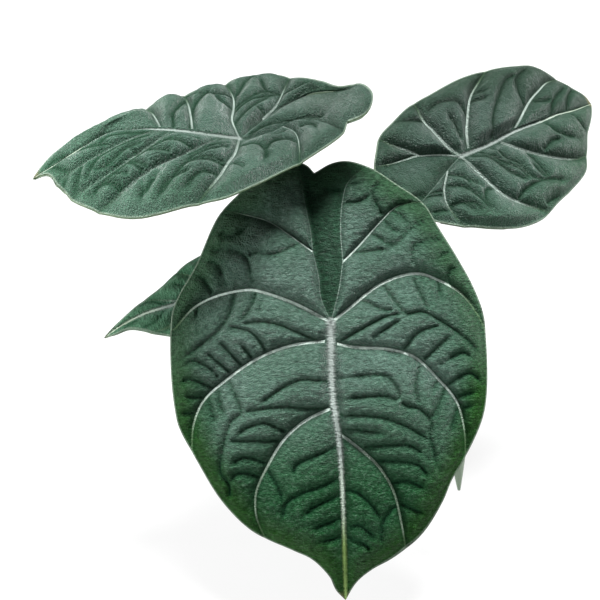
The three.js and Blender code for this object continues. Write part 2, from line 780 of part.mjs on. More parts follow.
const joins = {};
Object.entries(LEAVES).forEach(([name, leaf]) => {
  const blade = bladeOf(leaf);
  joins[name] = blade;
  addPiece(`leaf_${name}`, blade.geometry, paint(0x4c7060, 0.55));
});
addPiece("leaf_young", rolledLeaf(), paint(0x93ab86, 0.5));
joins.young = {
  join: new THREE.Vector3(...ROLL_TOP),
  normal: new THREE.Vector3(...ROLL_MIDDLE).sub(new THREE.Vector3(...ROLL_TOP)).normalize(),
};

const holes = [];
Object.entries(STALKS).forEach(([name, stalk]) => {
  const points = stalkPoints(stalk, joins[name].join, joins[name].normal);
  const facing = joins[name].normal;
  const stalkGeometry = tubeOf(points, stalkRadii(stalk.top, 0), STALK_SIDES, facing);
  const cut = points.map((p, i) => (i === 0 ? p.clone().setZ(p.z - FIT_GAP) : p));
  holes.push(solidOf(tubeOf(cut, stalkRadii(stalk.top, FIT_GAP), STALK_SIDES, facing)));
  addPiece(`stem_${name}`, stalkGeometry, paint(0x8a9a6a, 0.5));
});
addPiece("soil", geometryOf(soilSolid(holes)), paint(0x3a2c20, 0.95));

export default part;
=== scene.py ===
"""The looks of a potted alocasia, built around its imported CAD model.

Shapes are worked out in millimetres, in the frame of the CAD model, and mesh_piece turns them into
metres. Each blade is drawn flat, u from the stalk to the tip and v to the side, and is then bent.
"""

import math

import bpy
import numpy as np
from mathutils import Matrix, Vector


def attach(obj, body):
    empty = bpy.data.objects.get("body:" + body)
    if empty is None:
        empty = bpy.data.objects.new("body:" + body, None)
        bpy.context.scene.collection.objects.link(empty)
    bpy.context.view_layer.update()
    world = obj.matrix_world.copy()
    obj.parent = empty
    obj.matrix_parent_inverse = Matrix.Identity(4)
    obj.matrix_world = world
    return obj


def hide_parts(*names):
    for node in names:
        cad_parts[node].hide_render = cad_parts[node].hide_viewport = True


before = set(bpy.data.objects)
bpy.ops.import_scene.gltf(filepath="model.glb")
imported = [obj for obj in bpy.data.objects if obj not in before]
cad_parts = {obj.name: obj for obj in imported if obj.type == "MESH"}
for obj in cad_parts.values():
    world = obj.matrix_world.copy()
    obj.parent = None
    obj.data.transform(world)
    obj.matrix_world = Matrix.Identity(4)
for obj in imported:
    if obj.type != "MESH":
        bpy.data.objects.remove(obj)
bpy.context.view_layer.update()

MM = 0.001

# Sizes shared with the CAD model, in millimetres
POT_BASE_RADIUS = 39
POT_SHOULDER_RADIUS = 50.5
POT_SHOULDER_HEIGHT = 84
POT_RIM_RADIUS = 54.6
POT_HEIGHT = 97
POT_WALL = 1.5
POT_FLOOR = 2
DRAIN_HOLES = 5
DRAIN_RADIUS = 4.5
DRAIN_CIRCLE = 26
FIT_GAP = 0.3
SOIL_HEIGHT = 87
BLADE_THICKNESS = 1.0
MARGIN_THICKNESS = 0.8
RIB_DEPTH = 1.8
MIDRIB_HALF_WIDTH = 2.1
SWELL_SHARE = 0.105
SWELL_LIMIT = 3.4
STALK_FOOT_RADIUS = 4.4
STALK_FOOT_DEPTH = 22
STALK_CIRCLE = 9.5
ROLL_TOP = (68, -43, 124)
ROLL_MIDDLE = (70, -52, 92)
ROLL_TIP = (72.5, -67.8, 43.7)
ROLL_RADII = (2, 3.6, 5.6, 6.9, 7.4, 7.2, 6.6, 5.8, 4.9, 4, 3, 1.9, 0.7)
ROLL_TWIST = 1.1
ROLL_EDGE_STEP = 0.9

# The soil's surface: how far out loose bits lie, and where its crumbs fade to the wall
SCATTER_RADIUS = 46.5
CRUMB_FADE = (47, 49.5)

# Fine relief of the blades
POINT_SPACING = 0.88
CREASE_DEPTH = 2.8
CREASE_ROUNDING = 3.2
WRINKLE_DEPTH = 0.9
WRINKLE_SIZE = 5.2
CREASE_FADE = 4
VEIN_SHIFT = 0.4
# Besides relief: shade and sinus set painted shade, green a greener colour that is partly painted shade,
# and tone and fade a brightness that partly paints in light and shade.
BLADE_RELIEF = {
    "front": {
        "crease": 0.85, "swell": 1.6, "slope": 5, "notch": -2, "rib": 1.0, "pale": 1.0,
        "green": 1.0, "tone": 1.05, "sinus": 1.0, "width": 0.85, "shade": 1.15, "ripple": 1.0,
        "round": 0.7, "fade": (0.0012, 0.0015),
    },
    "left": {
        "crease": 1.2, "swell": 1.4, "slope": 12, "notch": -0.3, "rib": 0.72, "pale": 0.40,
        "green": 0.22, "tone": 1.05, "sinus": 0.1, "width": 0.65, "shade": 1.7, "ripple": 0.3,
        "round": 1.1, "fade": (0.0053, 0),
    },
    "right": {
        "crease": 1.1, "swell": 1.4, "slope": 7, "notch": -0.5, "rib": 0.6, "pale": 0.44,
        "green": 0.35, "tone": 0.88, "sinus": 0.3, "width": 0.75, "shade": 1.6, "ripple": 0.3,
        "round": 1.05, "fade": (0, -0.010),
    },
    # The back blade is made brighter, painting in light where the left blade shades it.
    "back": {
        "crease": 0.7, "swell": 1.0, "slope": 7, "notch": -0.5, "rib": 0.9, "pale": 0.75,
        "green": 0.4, "tone": 2.8, "sinus": 0.3, "width": 0.9, "shade": 1.2, "ripple": 0.6,
        "round": 1.2, "fade": (0, 0),
    },
}

# Half widths of the veins at their start and end
MAIN_VEIN = (0.7, 0.36)
MINOR_VEIN = (0.5, 0.26)

# Gaps to veins and creases count up to this
FAR = 9.0

# Steps along a midrib and a margin, and millimetres across a blade's texture
SPINE_STEPS = 240
RIM_STEPS = 400
UV_SPAN = 400

LEAVES = {
    "front": {
        "at": (2.6, -70, 150),
        "heading": -90,
        "pitch": 60,
        "roll": 0,
        "arch": {"rise": 0.15, "fall": 0.0022, "back": -0.0008, "dome": 750, "roof": 0},
        "rows": 92,
        "midrib": [(0, 0), (14, 0), (38, 1), (58, 4), (88, 6), (114, 7), (142, 8)],
        "right": {
            "margin": [
                (142, 8), (132, 13), (125, 20), (118, 31), (106, 45), (90, 55), (78, 60), (66, 67),
                (47, 75), (34, 77), (10, 77), (-3, 76), (-17, 71), (-32, 63), (-47, 54), (-59, 47),
                (-69, 33), (-77, 21), (-81, 9), (-80, 1), (-75, -8),
            ],
            "laterals": [
                [(55, 5), (60, 12), (70, 23), (83, 31), (98, 35), (114, 38)],
                [(10, 2), (12, 12), (13, 28), (17, 41), (28, 53), (39, 62), (53, 66), (66, 67)],
            ],
            "first": [
                (0, 0), (-8, 10), (-18, 23), (-23, 35), (-24, 44), (-21, 53), (-14, 65), (-2, 74),
                (5, 77),
            ],
            "bright": (1, 1, 1, 0.2, 0.65),
            "costa": [(0, 0), (-16, 4), (-30, 6)],
            "lobe": [(-30, 6), (-45, 5), (-60, 6), (-70, 9), (-78, 18)],
            "branch": [(-30, 6), (-38, 14), (-50, 25), (-58, 34), (-60, 46)],
        },
        "left": {
            "margin": [
                (142, 8), (136, 3), (129, 0), (119, -9), (114, -19), (105, -38), (90, -53),
                (69, -66), (52, -75), (43, -77), (24, -79), (-3, -79), (-12, -76), (-28, -67),
                (-53, -56), (-64, -46), (-75, -34), (-81, -21), (-79, -12), (-75, -8),
            ],
            "laterals": [
                [(42, -1), (48, -13), (57, -23), (70, -31), (84, -37), (97, -37), (108, -33)],
                [(9, -2), (11, -19), (17, -35), (27, -50), (39, -63), (51, -68), (64, -69)],
            ],
            "first": [(0, 0), (-9, -17), (-15, -34), (-16, -40), (-13, -56), (-7, -68), (4, -78)],
            "bright": (1, 1, 1, 0.12, 0.55),
            "costa": [(0, 0), (-12, -5), (-22, -6), (-35, -9)],
            "lobe": [(-35, -9), (-45, -10), (-60, -13), (-72, -15), (-80, -17)],
            "branch": [(-35, -9), (-43, -20), (-50, -31), (-53, -41), (-56, -54)],
        },
    },
    "left": {
        "at": (-42, -25.2, 227.4),
        "heading": 193,
        "pitch": 0,
        "roll": -14,
        "arch": {"rise": 0.42, "fall": 0.0052, "back": 0.012, "dome": 860, "roof": 0.33},
        "rows": 84,
        "midrib": [(0, 0), (15, 1), (32, -1), (49, -5), (63, -8), (75, -3), (88, 1), (101, 2)],
        "right": {
            "margin": [
                (101, 2), (94, 5), (89, 15), (82, 27), (74, 34), (64, 41), (56, 44), (46, 45),
                (27, 44), (15, 44), (4, 39), (-7, 31), (-17, 24), (-27, 19), (-35, 17), (-48, 13),
                (-52, 7),
            ],
            "laterals": [
                [(40, -1), (55, 3), (66, 6), (74, 8), (83, 10), (91, 12)],
                [(34, 0), (44, 8), (56, 14), (65, 18), (75, 21), (85, 23)],
                [(10, 1), (18, 9), (32, 17), (42, 20), (54, 25), (66, 32), (73, 35)],
            ],
            "first": [(0, 0), (5, 14), (10, 22), (15, 30), (24, 40), (28, 44)],
            "bright": (1, 0.3, 0.25, 0.25, 0.15, 1),
            "costa": [(0, 0), (-8, -4), (-16, -8), (-24, -12)],
            "lobe": [(-24, -12), (-30, -13), (-38, -8), (-44, 0), (-49, 12)],
            "branch": [(-24, -12), (-28, -6), (-29, 0), (-28, 9), (-26, 19)],
        },
        "left": {
            "margin": [
                (101, 2), (96, -3), (89, -9), (73, -16), (56, -24), (43, -32), (33, -39), (22, -41),
                (12, -46), (1, -52), (-9, -61), (-19, -64), (-29, -61), (-40, -48), (-47, -35),
                (-54, -20), (-61, -12), (-64, -3), (-64, 6), (-60, 11), (-52, 7),
            ],
            "laterals": [
                [(38, -4), (39, -14), (40, -24), (42, -33)],
                [(23, -1), (22, -12), (21, -26), (21, -42)],
            ],
            "first": [(0, 0), (1, -15), (-2, -27), (-4, -39), (-3, -55)],
            "bright": (1.1, 1, 1, 0.25, 0.9),
            "costa": [(0, 0), (-8, -11), (-16, -20)],
            "lobe": [(-16, -20), (-28, -29), (-40, -30), (-50, -22), (-58, -13)],
            "branch": [(-16, -20), (-24, -29), (-29, -38), (-36, -52)],
        },
    },
    "right": {
        "at": (72.4, 16.7, 200.1),
        "heading": 33,
        "pitch": -7,
        "roll": 36,
        "arch": {"rise": 0.2, "fall": 0.003, "back": 0.002, "dome": 800, "roof": 0.1},
        "rows": 84,
        "midrib": [(0, 0), (18, -1), (36, 0), (57, 0), (70, 1), (85, 1), (104, 3)],
        "right": {
            "margin": [
                (104, 3), (103, 8), (98, 14), (94, 20), (90, 27), (81, 36), (68, 39), (50, 42),
                (29, 42), (8, 40), (-7, 39), (-22, 34), (-32, 30), (-39, 23), (-45, 15), (-47, 8),
                (-46, 3), (-41, 0),
            ],
            "laterals": [
                [(37, 2), (43, 5), (51, 10), (60, 15), (70, 19), (81, 23), (92, 24)],
                [(6, 2), (10, 10), (16, 18), (26, 29), (39, 37), (48, 42)],
            ],
            "first": [(0, 0), (-3, 7), (-5, 20), (-6, 27), (-4, 39)],
            "costa": [(0, 0), (-9, 6), (-20, 11)],
            "lobe": [(-20, 11), (-28, 12), (-36, 13), (-45, 15)],
            "branch": [(-20, 11), (-24, 16), (-29, 22), (-33, 29)],
        },
        "left": {
            "margin": [
                (104, 3), (100, -1), (92, -8), (82, -16), (75, -25), (66, -35), (49, -42),
                (38, -45), (22, -50), (7, -49), (-6, -43), (-15, -37), (-27, -30), (-35, -24),
                (-42, -16), (-45, -8), (-45, -3), (-41, 0),
            ],
            "laterals": [
                [(24, -3), (34, -12), (41, -17), (48, -21), (57, -25), (65, -27), (73, -27)],
            ],
            "first": [(0, 0), (4, -16), (9, -30), (18, -40), (29, -48)],
            "bright": (1, 1, 0.35, 1),
            "costa": [(0, 0), (-6, -2), (-11, -4)],
            "lobe": [(-11, -4), (-20, -8), (-30, -12), (-42, -16)],
            "branch": [(-11, -4), (-18, -12), (-21, -19), (-21, -27), (-19, -35)],
        },
    },
    "back": {
        "at": (-50.6, -22.4, 140.4),
        "heading": 190,
        "pitch": 18,
        "roll": -34,
        "arch": {"rise": 0.45, "fall": 0.0065, "back": 0.004, "dome": 500, "roof": 0.25},
        "rows": 56,
        "midrib": [(0, 0), (16, 0), (31, 0), (43, -1), (58, -1), (70, 0)],
        "right": {
            "margin": [
                (70, 0), (63, 2), (56, 3), (48, 7), (41, 12), (35, 16), (25, 22), (12, 27), (0, 30),
                (-12, 30), (-24, 26), (-33, 18), (-36, 10), (-33, 3), (-27, -1),
            ],
            "laterals": [
                [(22, 1), (28, 7), (35, 11), (45, 10)],
                [(5, 1), (9, 9), (14, 16), (25, 22)],
            ],
            "first": [(0, 0), (-3, 10), (-3, 20), (0, 30)],
            "costa": [(0, 0), (-6, 3), (-12, 5)],
            "lobe": [(-12, 5), (-20, 6), (-28, 8), (-36, 12)],
            "branch": [(-12, 5), (-17, 12), (-22, 20), (-24, 26)],
        },
        "left": {
            "margin": [
                (70, 0), (63, -2), (56, -4), (46, -8), (33, -12), (20, -20), (9, -24), (-4, -28),
                (-16, -29), (-28, -25), (-35, -17), (-36, -9), (-33, -4), (-27, -1),
            ],
            "laterals": [
                [(26, -1), (32, -4), (38, -7), (44, -9)],
                [(8, -1), (12, -7), (16, -14), (22, -18)],
            ],
            "first": [(0, 0), (-2, -9), (-2, -18), (0, -27)],
            "costa": [(0, 0), (-6, -3), (-12, -5)],
            "lobe": [(-12, -5), (-20, -7), (-28, -10), (-36, -13)],
            "branch": [(-12, -5), (-16, -12), (-20, -20), (-22, -28)],
        },
    },
}

# Creases between the cells of each blade
CREASES = {
    "front": [
        [(-18, 26), (-11, 31), (-4, 37), (-5, 44), (-2, 51), (10, 68), (15, 72)],
        [(-21, 41), (-5, 48)], [(-21, 53), (-11, 54)], [(-12, 13), (-6, 26), (-6, 31)],
        [(9, 5), (-3, 28), (-4, 35)], [(7, 21), (-2, 35)], [(13, 36), (5, 43), (1, 55)],
        [(18, 46), (6, 59)], [(20, 54), (15, 65), (18, 69)], [(30, 58), (25, 68), (30, 74)],
        [(36, 63), (34, 72)], [(42, 65), (41, 71)], [(-71, 26), (-64, 21), (-54, 25)],
        [(-59, 8), (-60, 15), (-64, 21)], [(-69, 10), (-69, 15)], [(-66, -1), (-65, 6)],
        [(-44, 20), (-38, 31), (-46, 39), (-51, 49)],
        [(-50, 27), (-45, 32), (-45, 36)], [(-55, 31), (-52, 36), (-48, 39)],
        [(-30, 40), (-37, 41), (-39, 44), (-41, 52), (-40, 56)], [(-30, 52), (-34, 56), (-34, 61)],
        [(-34, 11), (-36, 30)], [(-19, 59), (-23, 58), (-26, 60), (-27, 65)],
        [(27, 5), (26, 26), (28, 29), (35, 33), (38, 33)], [(37, 6), (36, 26), (38, 33)],
        [(38, 33), (41, 37), (42, 42), (49, 49), (54, 48), (74, 53)],
        [(45, 5), (46, 23), (49, 33), (58, 49)], [(52, 9), (54, 26)],
        [(61, 17), (60, 28), (60, 38), (65, 46)], [(68, 23), (68, 34), (70, 43), (76, 48)],
        [(22, 43), (31, 41), (42, 43)], [(29, 52), (34, 49)], [(32, 56), (45, 50), (47, 48)],
        [(43, 62), (54, 58)], [(79, 31), (78, 37), (80, 43), (82, 47)], [(90, 35), (95, 47)],
        [(83, 7), (83, 12), (90, 20), (98, 25)], [(101, 10), (100, 14), (109, 24)],
        [(107, 9), (111, 18), (114, 19)], [(90, 33), (98, 26), (112, 25)],
        [(77, 3), (88, -21), (97, -24)], [(85, 5), (91, -9), (95, -13)], [(97, 5), (102, -10)],
        [(107, 5), (109, -7)], [(61, 2), (70, -17), (74, -18)], [(73, -31), (83, -25), (89, -24)],
        [(29, -1), (28, -14), (31, -22), (41, -36)], [(42, -1), (42, -12), (41, -23), (44, -45)],
        [(29, -50), (44, -44), (49, -49), (68, -54), (74, -54), (80, -50), (88, -50)],
        [(53, -23), (49, -32), (50, -37), (52, -42), (57, -47)], [(58, -26), (58, -51)],
        [(69, -33), (66, -40), (67, -45), (70, -49)], [(76, -36), (74, -42), (75, -47), (80, -50)],
        [(38, -60), (51, -56)], [(34, -55), (41, -54), (46, -51)],
        [(-15, -47), (-6, -49), (3, -54), (20, -75)], [(2, -52), (5, -39), (14, -32)],
        [(1, -45), (0, -34), (1, -27), (9, -7)], [(-14, -37), (-8, -39), (1, -45)],
        [(-9, -35), (-3, -35)], [(-9, -66), (-2, -66)], [(8, -56), (21, -44)],
        [(10, -45), (17, -39)], [(14, -62), (24, -50)],
        [(22, -73), (19, -68), (22, -60), (26, -56)], [(30, -74), (28, -69), (33, -57)],
        [(37, -73), (37, -63)], [(45, -75), (45, -68)],
        [(-39, -15), (-33, -29), (-34, -36), (-32, -42)], [(-35, -25), (-30, -29)],
        [(-35, -62), (-35, -49), (-32, -42), (-20, -39)], [(-44, -57), (-42, -48), (-47, -41)],
        [(-30, -61), (-28, -56), (-20, -52)], [(-23, -69), (-21, -63), (-15, -59)],
    ],
    "left": [
        [(24, -3), (18, -25), (8, -38)], [(32, -4), (31, -13), (22, -31)],
        [(21, -39), (9, -34), (-4, -38)], [(8, -34), (4, -27), (-1, -25)],
        [(-2, -23), (-11, -32), (-28, -39)], [(-6, -40), (-16, -57), (-20, -59)],
        [(-21, -56), (-22, -41), (-29, -38)], [(31, 24), (25, 19), (9, 12)],
        [(46, 40), (36, 30), (29, 24), (20, 23), (12, 24)], [(35, 39), (24, 30), (17, 30)],
        [(53, 11), (37, 15)], [(51, 22), (56, 17), (62, 16)],
        [(62, 29), (66, 25), (72, 25), (74, 29)], [(22, 7), (30, 6), (40, 9), (58, 17), (76, 27)],
        [(45, 3), (69, 9), (74, 13)], [(78, 11), (82, 20)],
        [(-9, 15), (-14, 7), (-22, 3), (-28, 5)],
        [(44, 0), (58, -1), (65, -1), (68, 2)], [(65, 3), (90, -1), (93, 0)], [(92, 2), (85, 9)],
        [(50, 7), (57, 9), (67, 15), (72, 15)], [(68, 7), (76, 17)], [(86, 13), (88, 17)],
        [(26, 13), (34, 9), (46, 10), (51, 12)], [(49, 20), (57, 15)], [(58, 22), (66, 20)],
        [(61, 28), (64, 25), (68, 24), (72, 24), (75, 29)],
        [(28, 29), (33, 30), (42, 34), (46, 40)], [(44, 27), (53, 37)], [(51, 30), (54, 39)],
        [(-2, -27), (-20, -40), (-29, -38)], [(0, -12), (-12, -27), (-22, -36)],
        [(-12, -27), (-17, -22)], [(-30, -38), (-47, -34)], [(-49, -25), (-56, -15)],
        [(-14, 1), (-24, -6)], [(0, 8), (-5, 7), (-8, 9), (-10, 15), (-7, 23)], [(8, 8), (28, 18)],
        [(13, 22), (20, 21), (25, 22), (28, 26)], [(7, 23), (4, 26), (4, 29)],
        [(-32, -5), (-37, -3), (-38, 4)], [(-6, -6), (-18, -15), (-36, -13), (-43, -8)],
    ],
    "right": [
        [(52, 12), (53, 19), (57, 27), (74, 35)], [(21, 2), (26, 10), (41, 23), (52, 30), (59, 31)],
        [(23, 26), (34, 23)], [(65, 1), (71, 8), (89, 16)], [(79, 2), (84, 8), (95, 14)],
        [(60, 12), (67, 10), (73, 11)], [(16, 20), (15, 27), (5, 32), (-1, 31)],
        [(5, 9), (6, 17), (5, 24)], [(-20, 33), (-7, 27)],
        [(18, -5), (19, -13), (24, -19), (27, -28), (35, -33)], [(34, -15), (37, -34)],
        [(6, -3), (11, -8), (17, -21), (25, -30)],
        [(15, -35), (19, -33), (31, -32), (39, -34), (47, -37)], [(-16, -12), (-9, -18), (-3, -37)],
        [(-5, -12), (-1, -21)], [(2, -23), (-2, -26), (-5, -35)],
        [(-21, -23), (-15, -24), (-10, -34)], [(-32, -11), (-22, -15)],
        [(57, -3), (58, -10), (70, -18)], [(78, -4), (79, -10), (84, -15)],
        [(28, 30), (36, 28)], [(-39, 13), (-22, 12)], [(11, -3), (16, -14), (23, -22), (25, -30)],
        [(32, -19), (33, -27), (36, -33)], [(30, -43), (41, -42)],
        [(-20, -22), (-13, -25), (-9, -29), (-8, -35)], [(-4, -28), (0, -24), (4, -24)],
        [(-12, -6), (-6, -13), (-5, -18)], [(-35, -9), (-20, -13)], [(-34, -21), (-24, -24)],
        [(46, -16), (52, -14), (60, -15)],
    ],
    "back": [
        [(14, 2), (20, 9), (30, 12)], [(34, 2), (40, 6), (50, 6)], [(2, 8), (6, 16), (10, 26)],
        [(-8, 8), (-10, 18), (-8, 28)], [(-16, 4), (-26, 12), (-30, 20)], [(50, 1), (57, 2)],
        [(16, -2), (20, -8), (28, -11)], [(34, -2), (40, -6), (48, -6)], [(2, -6), (6, -14), (12, -22)],
        [(-8, -8), (-10, -16), (-8, -27)], [(-18, -8), (-26, -16), (-30, -23)],
    ],
}

# Foot angle in the soil, points up to the blade, the last bend counted from the end, top radius
STALKS = {
    "front": {"foot": -90, "via": [(1, -13, 112), (2, -28, 134)], "bend": (0, 14, -5), "top": 2.5},
    "left": {"foot": 126, "via": [(-9, 5, 130), (-22, -5, 180)], "bend": (2, 4, -16), "top": 2.3},
    "right": {"foot": 54, "via": [(10, 9, 120), (32, 17, 165)], "bend": (-12, 3, -13), "top": 2.2},
    "back": {"foot": 198, "via": [(-13, -3, 108), (-24, -7, 126)], "bend": (9, 6, -4), "top": 1.9},
    "young": {"foot": -18, "via": [(15, -7, 112), (34, -20, 140)], "bend": (-9, 9, 14), "top": 1.8},
}


# Curves and relief


def ease(x, low, high):
    x = np.clip((np.asarray(x, float) - low) / (high - low), 0, 1)
    return x * x * (3 - 2 * x)


def noise(x, y, cell, seed):
    """Smooth random heights from -1 to 1, with features as wide as a cell."""
    size = 64
    grid = np.random.default_rng(seed).uniform(-1, 1, (size, size))
    column, row = np.floor(x / cell).astype(int), np.floor(y / cell).astype(int)
    fx, fy = ease(x / cell - column, 0, 1), ease(y / cell - row, 0, 1)

    def level(above):
        left = grid[column % size, (row + above) % size]
        right = grid[(column + 1) % size, (row + above) % size]
        return left * (1 - fx) + right * fx

    return level(0) * (1 - fy) + level(1) * fy


def cell_borders(x, y, cell, seed):
    """How far each point lies from the border between rounded cells of about that size."""
    size = 64
    place = np.random.default_rng(seed).uniform(0.05, 0.95, (size, size, 2))
    x, y = x / cell, y / cell
    column, row = np.floor(x).astype(int), np.floor(y).astype(int)
    first = np.full(x.shape, np.inf)
    second = first.copy()
    for across in (-1, 0, 1):
        for up in (-1, 0, 1):
            near = place[(column + across) % size, (row + up) % size]
            gap = np.hypot(x - column - across - near[..., 0], y - row - up - near[..., 1])
            second = np.minimum(second, np.maximum(first, gap))
            first = np.minimum(first, gap)
    return (second - first) * cell / 2


def curve(points, per_span=40):
    """Close points along a centripetal Catmull-Rom curve."""
    knots = np.asarray(points, float)
    knots = np.vstack([2 * knots[0] - knots[1], knots, 2 * knots[-1] - knots[-2]])
    share = np.linspace(0, 1, per_span, endpoint=False)[:, None]
    runs = []
    for p0, p1, p2, p3 in zip(knots, knots[1:], knots[2:], knots[3:]):
        d0, d1, d2 = (math.sqrt(np.linalg.norm(d)) for d in (p1 - p0, p2 - p1, p3 - p2))
        leave = ((p1 - p0) / d0 - (p2 - p0) / (d0 + d1) + (p2 - p1) / d1) * d1
        arrive = ((p2 - p1) / d1 - (p3 - p1) / (d1 + d2) + (p3 - p2) / d2) * d1
        square = 3 * (p2 - p1) - 2 * leave - arrive
        cube = 2 * (p1 - p2) + leave + arrive
        runs.append(p1 + share * leave + share**2 * square + share**3 * cube)
    return np.vstack([*runs, knots[-2]])


def lengths(rows):
    return np.linalg.norm(rows, axis=-1)


def headings(line):
    """The line's direction at each of its points."""
    ahead = np.gradient(line, axis=0)
    return ahead / lengths(ahead)[:, None]


def spread(line, steps):
    """The line cut into equal steps."""
    reach = np.concatenate([[0], np.cumsum(lengths(np.diff(line, axis=0)))])
    goal = np.linspace(0, reach[-1], steps + 1)
    return np.stack([np.interp(goal, reach, axis) for axis in line.T], axis=1)


def evenly(points, steps):
    return spread(curve(points), steps)


def length_of(line):
    return lengths(np.diff(line, axis=0)).sum()


def nearest(line, point):
    return int(lengths(line - np.asarray(point, float)).argmin())


def along(line, share):
    """Points at a share of the line's count of steps."""
    place = np.asarray(share) * (len(line) - 1)
    return np.stack([np.interp(place, np.arange(len(line)), axis) for axis in line.T], axis=-1)


def near_line(points, line, block=4000):
    """How far each point lies from the line, and at what share of it."""
    start, step = line[:-1], np.diff(line, axis=0)
    square = np.maximum((step**2).sum(1), 1e-12)
    gaps, shares = [], []
    for first in range(0, len(points), block):
        from_start = points[first : first + block, None] - start
        part = np.clip((from_start * step).sum(-1) / square, 0, 1)
        off = lengths(from_start - part[..., None] * step)
        best = off.argmin(1)
        rows = np.arange(len(best))
        gaps.append(off[rows, best])
        shares.append((best + part[rows, best]) / len(step))
    return np.concatenate(gaps), np.concatenate(shares)


# Blades


def panel_point(a, b, trunk, edge, s, t):
    """A point between two veins. s runs out along them and t across, from side a to side b."""
    x, y = s[..., None], t[..., None]
    across = (1 - y) * along(a, s) + y * along(b, s)
    outward = (1 - x) * along(trunk, t) + x * along(edge, t)
    near = (1 - y) * a[0] + y * b[0]
    far = (1 - y) * a[-1] + y * b[-1]
    return across + outward - (1 - x) * near - x * far


class Net:
    """A blade drawn flat: points, what is known at each, and triangles seen from above."""

    def __init__(self):
        self.flat = np.empty((0, 2))
        self.values = {name: np.empty(0) for name in ("swell", "vein", "clear", "bright")}
        self.faces = []

    def add(self, points, swell=0.0, vein=FAR, clear=FAR, bright=1.0):
        """clear is how far the nearest main vein's side is, and vein counts in its half widths."""
        points = np.atleast_2d(points)
        given = {"swell": swell, "vein": vein, "clear": clear, "bright": bright}
        for name, value in given.items():
            fresh = np.broadcast_to(np.asarray(value, float), len(points))
            self.values[name] = np.concatenate([self.values[name], fresh])
        self.flat = np.vstack([self.flat, points])
        return np.arange(len(self.flat) - len(points), len(self.flat))

    def line(self, start, points, end=None, **values):
        ids = [[start], self.add(points, **values)] if len(points) else [[start]]
        return np.concatenate(ids + ([[end]] if end is not None else [])).astype(int)

    def put(self, faces):
        """Adds faces, turned so that together they are seen from above."""
        faces = np.asarray(faces)
        a, b, c = faces.T
        faces = faces[(a != b) & (b != c) & (c != a)]
        p, q, r = (self.flat[faces[:, k]] for k in range(3))
        area = (q - p)[:, 0] * (r - p)[:, 1] - (q - p)[:, 1] * (r - p)[:, 0]
        self.faces.append(faces if area.sum() > 0 else faces[:, ::-1])

    def panel(self, a, b, trunk, edge, veins, relief, puff=None):
        """Fills the space between the veins a and b, which have the same count of points."""
        rows, columns = len(a) - 1, len(edge) - 1
        fan = trunk is None
        trunk = np.full(columns + 1, a[0]) if fan else trunk
        sides = [self.flat[side] for side in (a, b, trunk, edge)]
        s, t = np.meshgrid(np.linspace(0, 1, rows + 1), np.linspace(0, 1, columns + 1), indexing="ij")
        width = lengths(sides[0] - sides[1])[:, None]
        swell = np.minimum(SWELL_LIMIT, SWELL_SHARE * width) * (1 - 0.55 * ease(s, 0.75, 1))
        swell = (puff or 1) * swell * np.sin(np.pi * t) ** 0.85
        points = panel_point(*sides, s, t)
        if not fan:
            swell = swell * ease(lengths(points - points[:1]), 0, relief["slope"])
        scale = relief["width"]
        ids = np.empty((rows + 1, columns + 1), int)
        ids[0], ids[-1], ids[:, 0], ids[:, -1] = trunk, edge, a, b
        inner = (slice(1, -1), slice(1, -1))
        fresh = self.add(points[inner].reshape(-1, 2), swell[inner].ravel())
        ids[inner] = fresh.reshape(rows - 1, columns - 1)
        self.values["swell"][edge] = swell[-1]
        both = np.concatenate([fresh, edge[1:-1]])
        for line, (wide, narrow), shift, bright in veins:
            gap, share = near_line(self.flat[both], line)
            half = (wide + (narrow - wide) * share) * (0.4 + 0.6 * min(bright, 1)) * scale
            shifted = np.abs(gap + shift) / half
            nearer = both[shifted < self.values["vein"][both]]
            self.values["bright"][nearer] = bright
            self.values["vein"][both] = np.minimum(self.values["vein"][both], shifted)
            clear = np.maximum(gap - half, 0)
            self.values["clear"][both] = np.minimum(self.values["clear"][both], clear)
        a, b, c, d = ids[:-1, :-1], ids[1:, :-1], ids[1:, 1:], ids[:-1, 1:]
        a, b, c, d = (corner.ravel() for corner in (a, b, c, d))
        cut = lengths(self.flat[a] - self.flat[c]) <= lengths(self.flat[b] - self.flat[d])
        cut = cut[:, None]
        one = np.where(cut, np.stack([a, b, c], 1), np.stack([a, b, d], 1))
        two = np.where(cut, np.stack([a, c, d], 1), np.stack([b, c, d], 1))
        self.put(np.vstack([one, two]))
        return fresh, t[inner].ravel()

    def strip(self, left, right):
        """Fills the strip between two lines that share their ends."""

        def gap(i, j):
            return lengths(self.flat[left[i]] - self.flat[right[j]])

        i, j, faces = 0, 0, []
        while i < len(left) - 1 or j < len(right) - 1:
            ahead = j == len(right) - 1
            if i < len(left) - 1 and not ahead:
                ahead = gap(i + 1, j) <= gap(i, j + 1)
            if ahead:
                faces.append((left[i], left[i + 1], right[j]))
                i += 1
            else:
                faces.append((left[i], right[j + 1], right[j]))
                j += 1
        self.put(faces)


def midrib_width(share):
    return MIDRIB_HALF_WIDTH * (1 - 0.82 * share)


def steps_between(first, second):
    shares = np.linspace(0, 1, 9)
    width = lengths(along(first, shares) - along(second, shares))
    return int(np.clip(round(width.max() * 0.9 / POINT_SPACING), 8, 64))


def rib_edge(spine, turn):
    """The midrib's edge, on the side where v grows for a turn of 1 and on the other for -1."""
    shares = np.linspace(0, 1, len(spine))
    ahead_u, ahead_v = headings(spine).T
    out = turn * midrib_width(shares) * ease(shares, 0, 0.05)
    return spine + np.stack([-ahead_v, ahead_u], axis=1) * out[:, None]


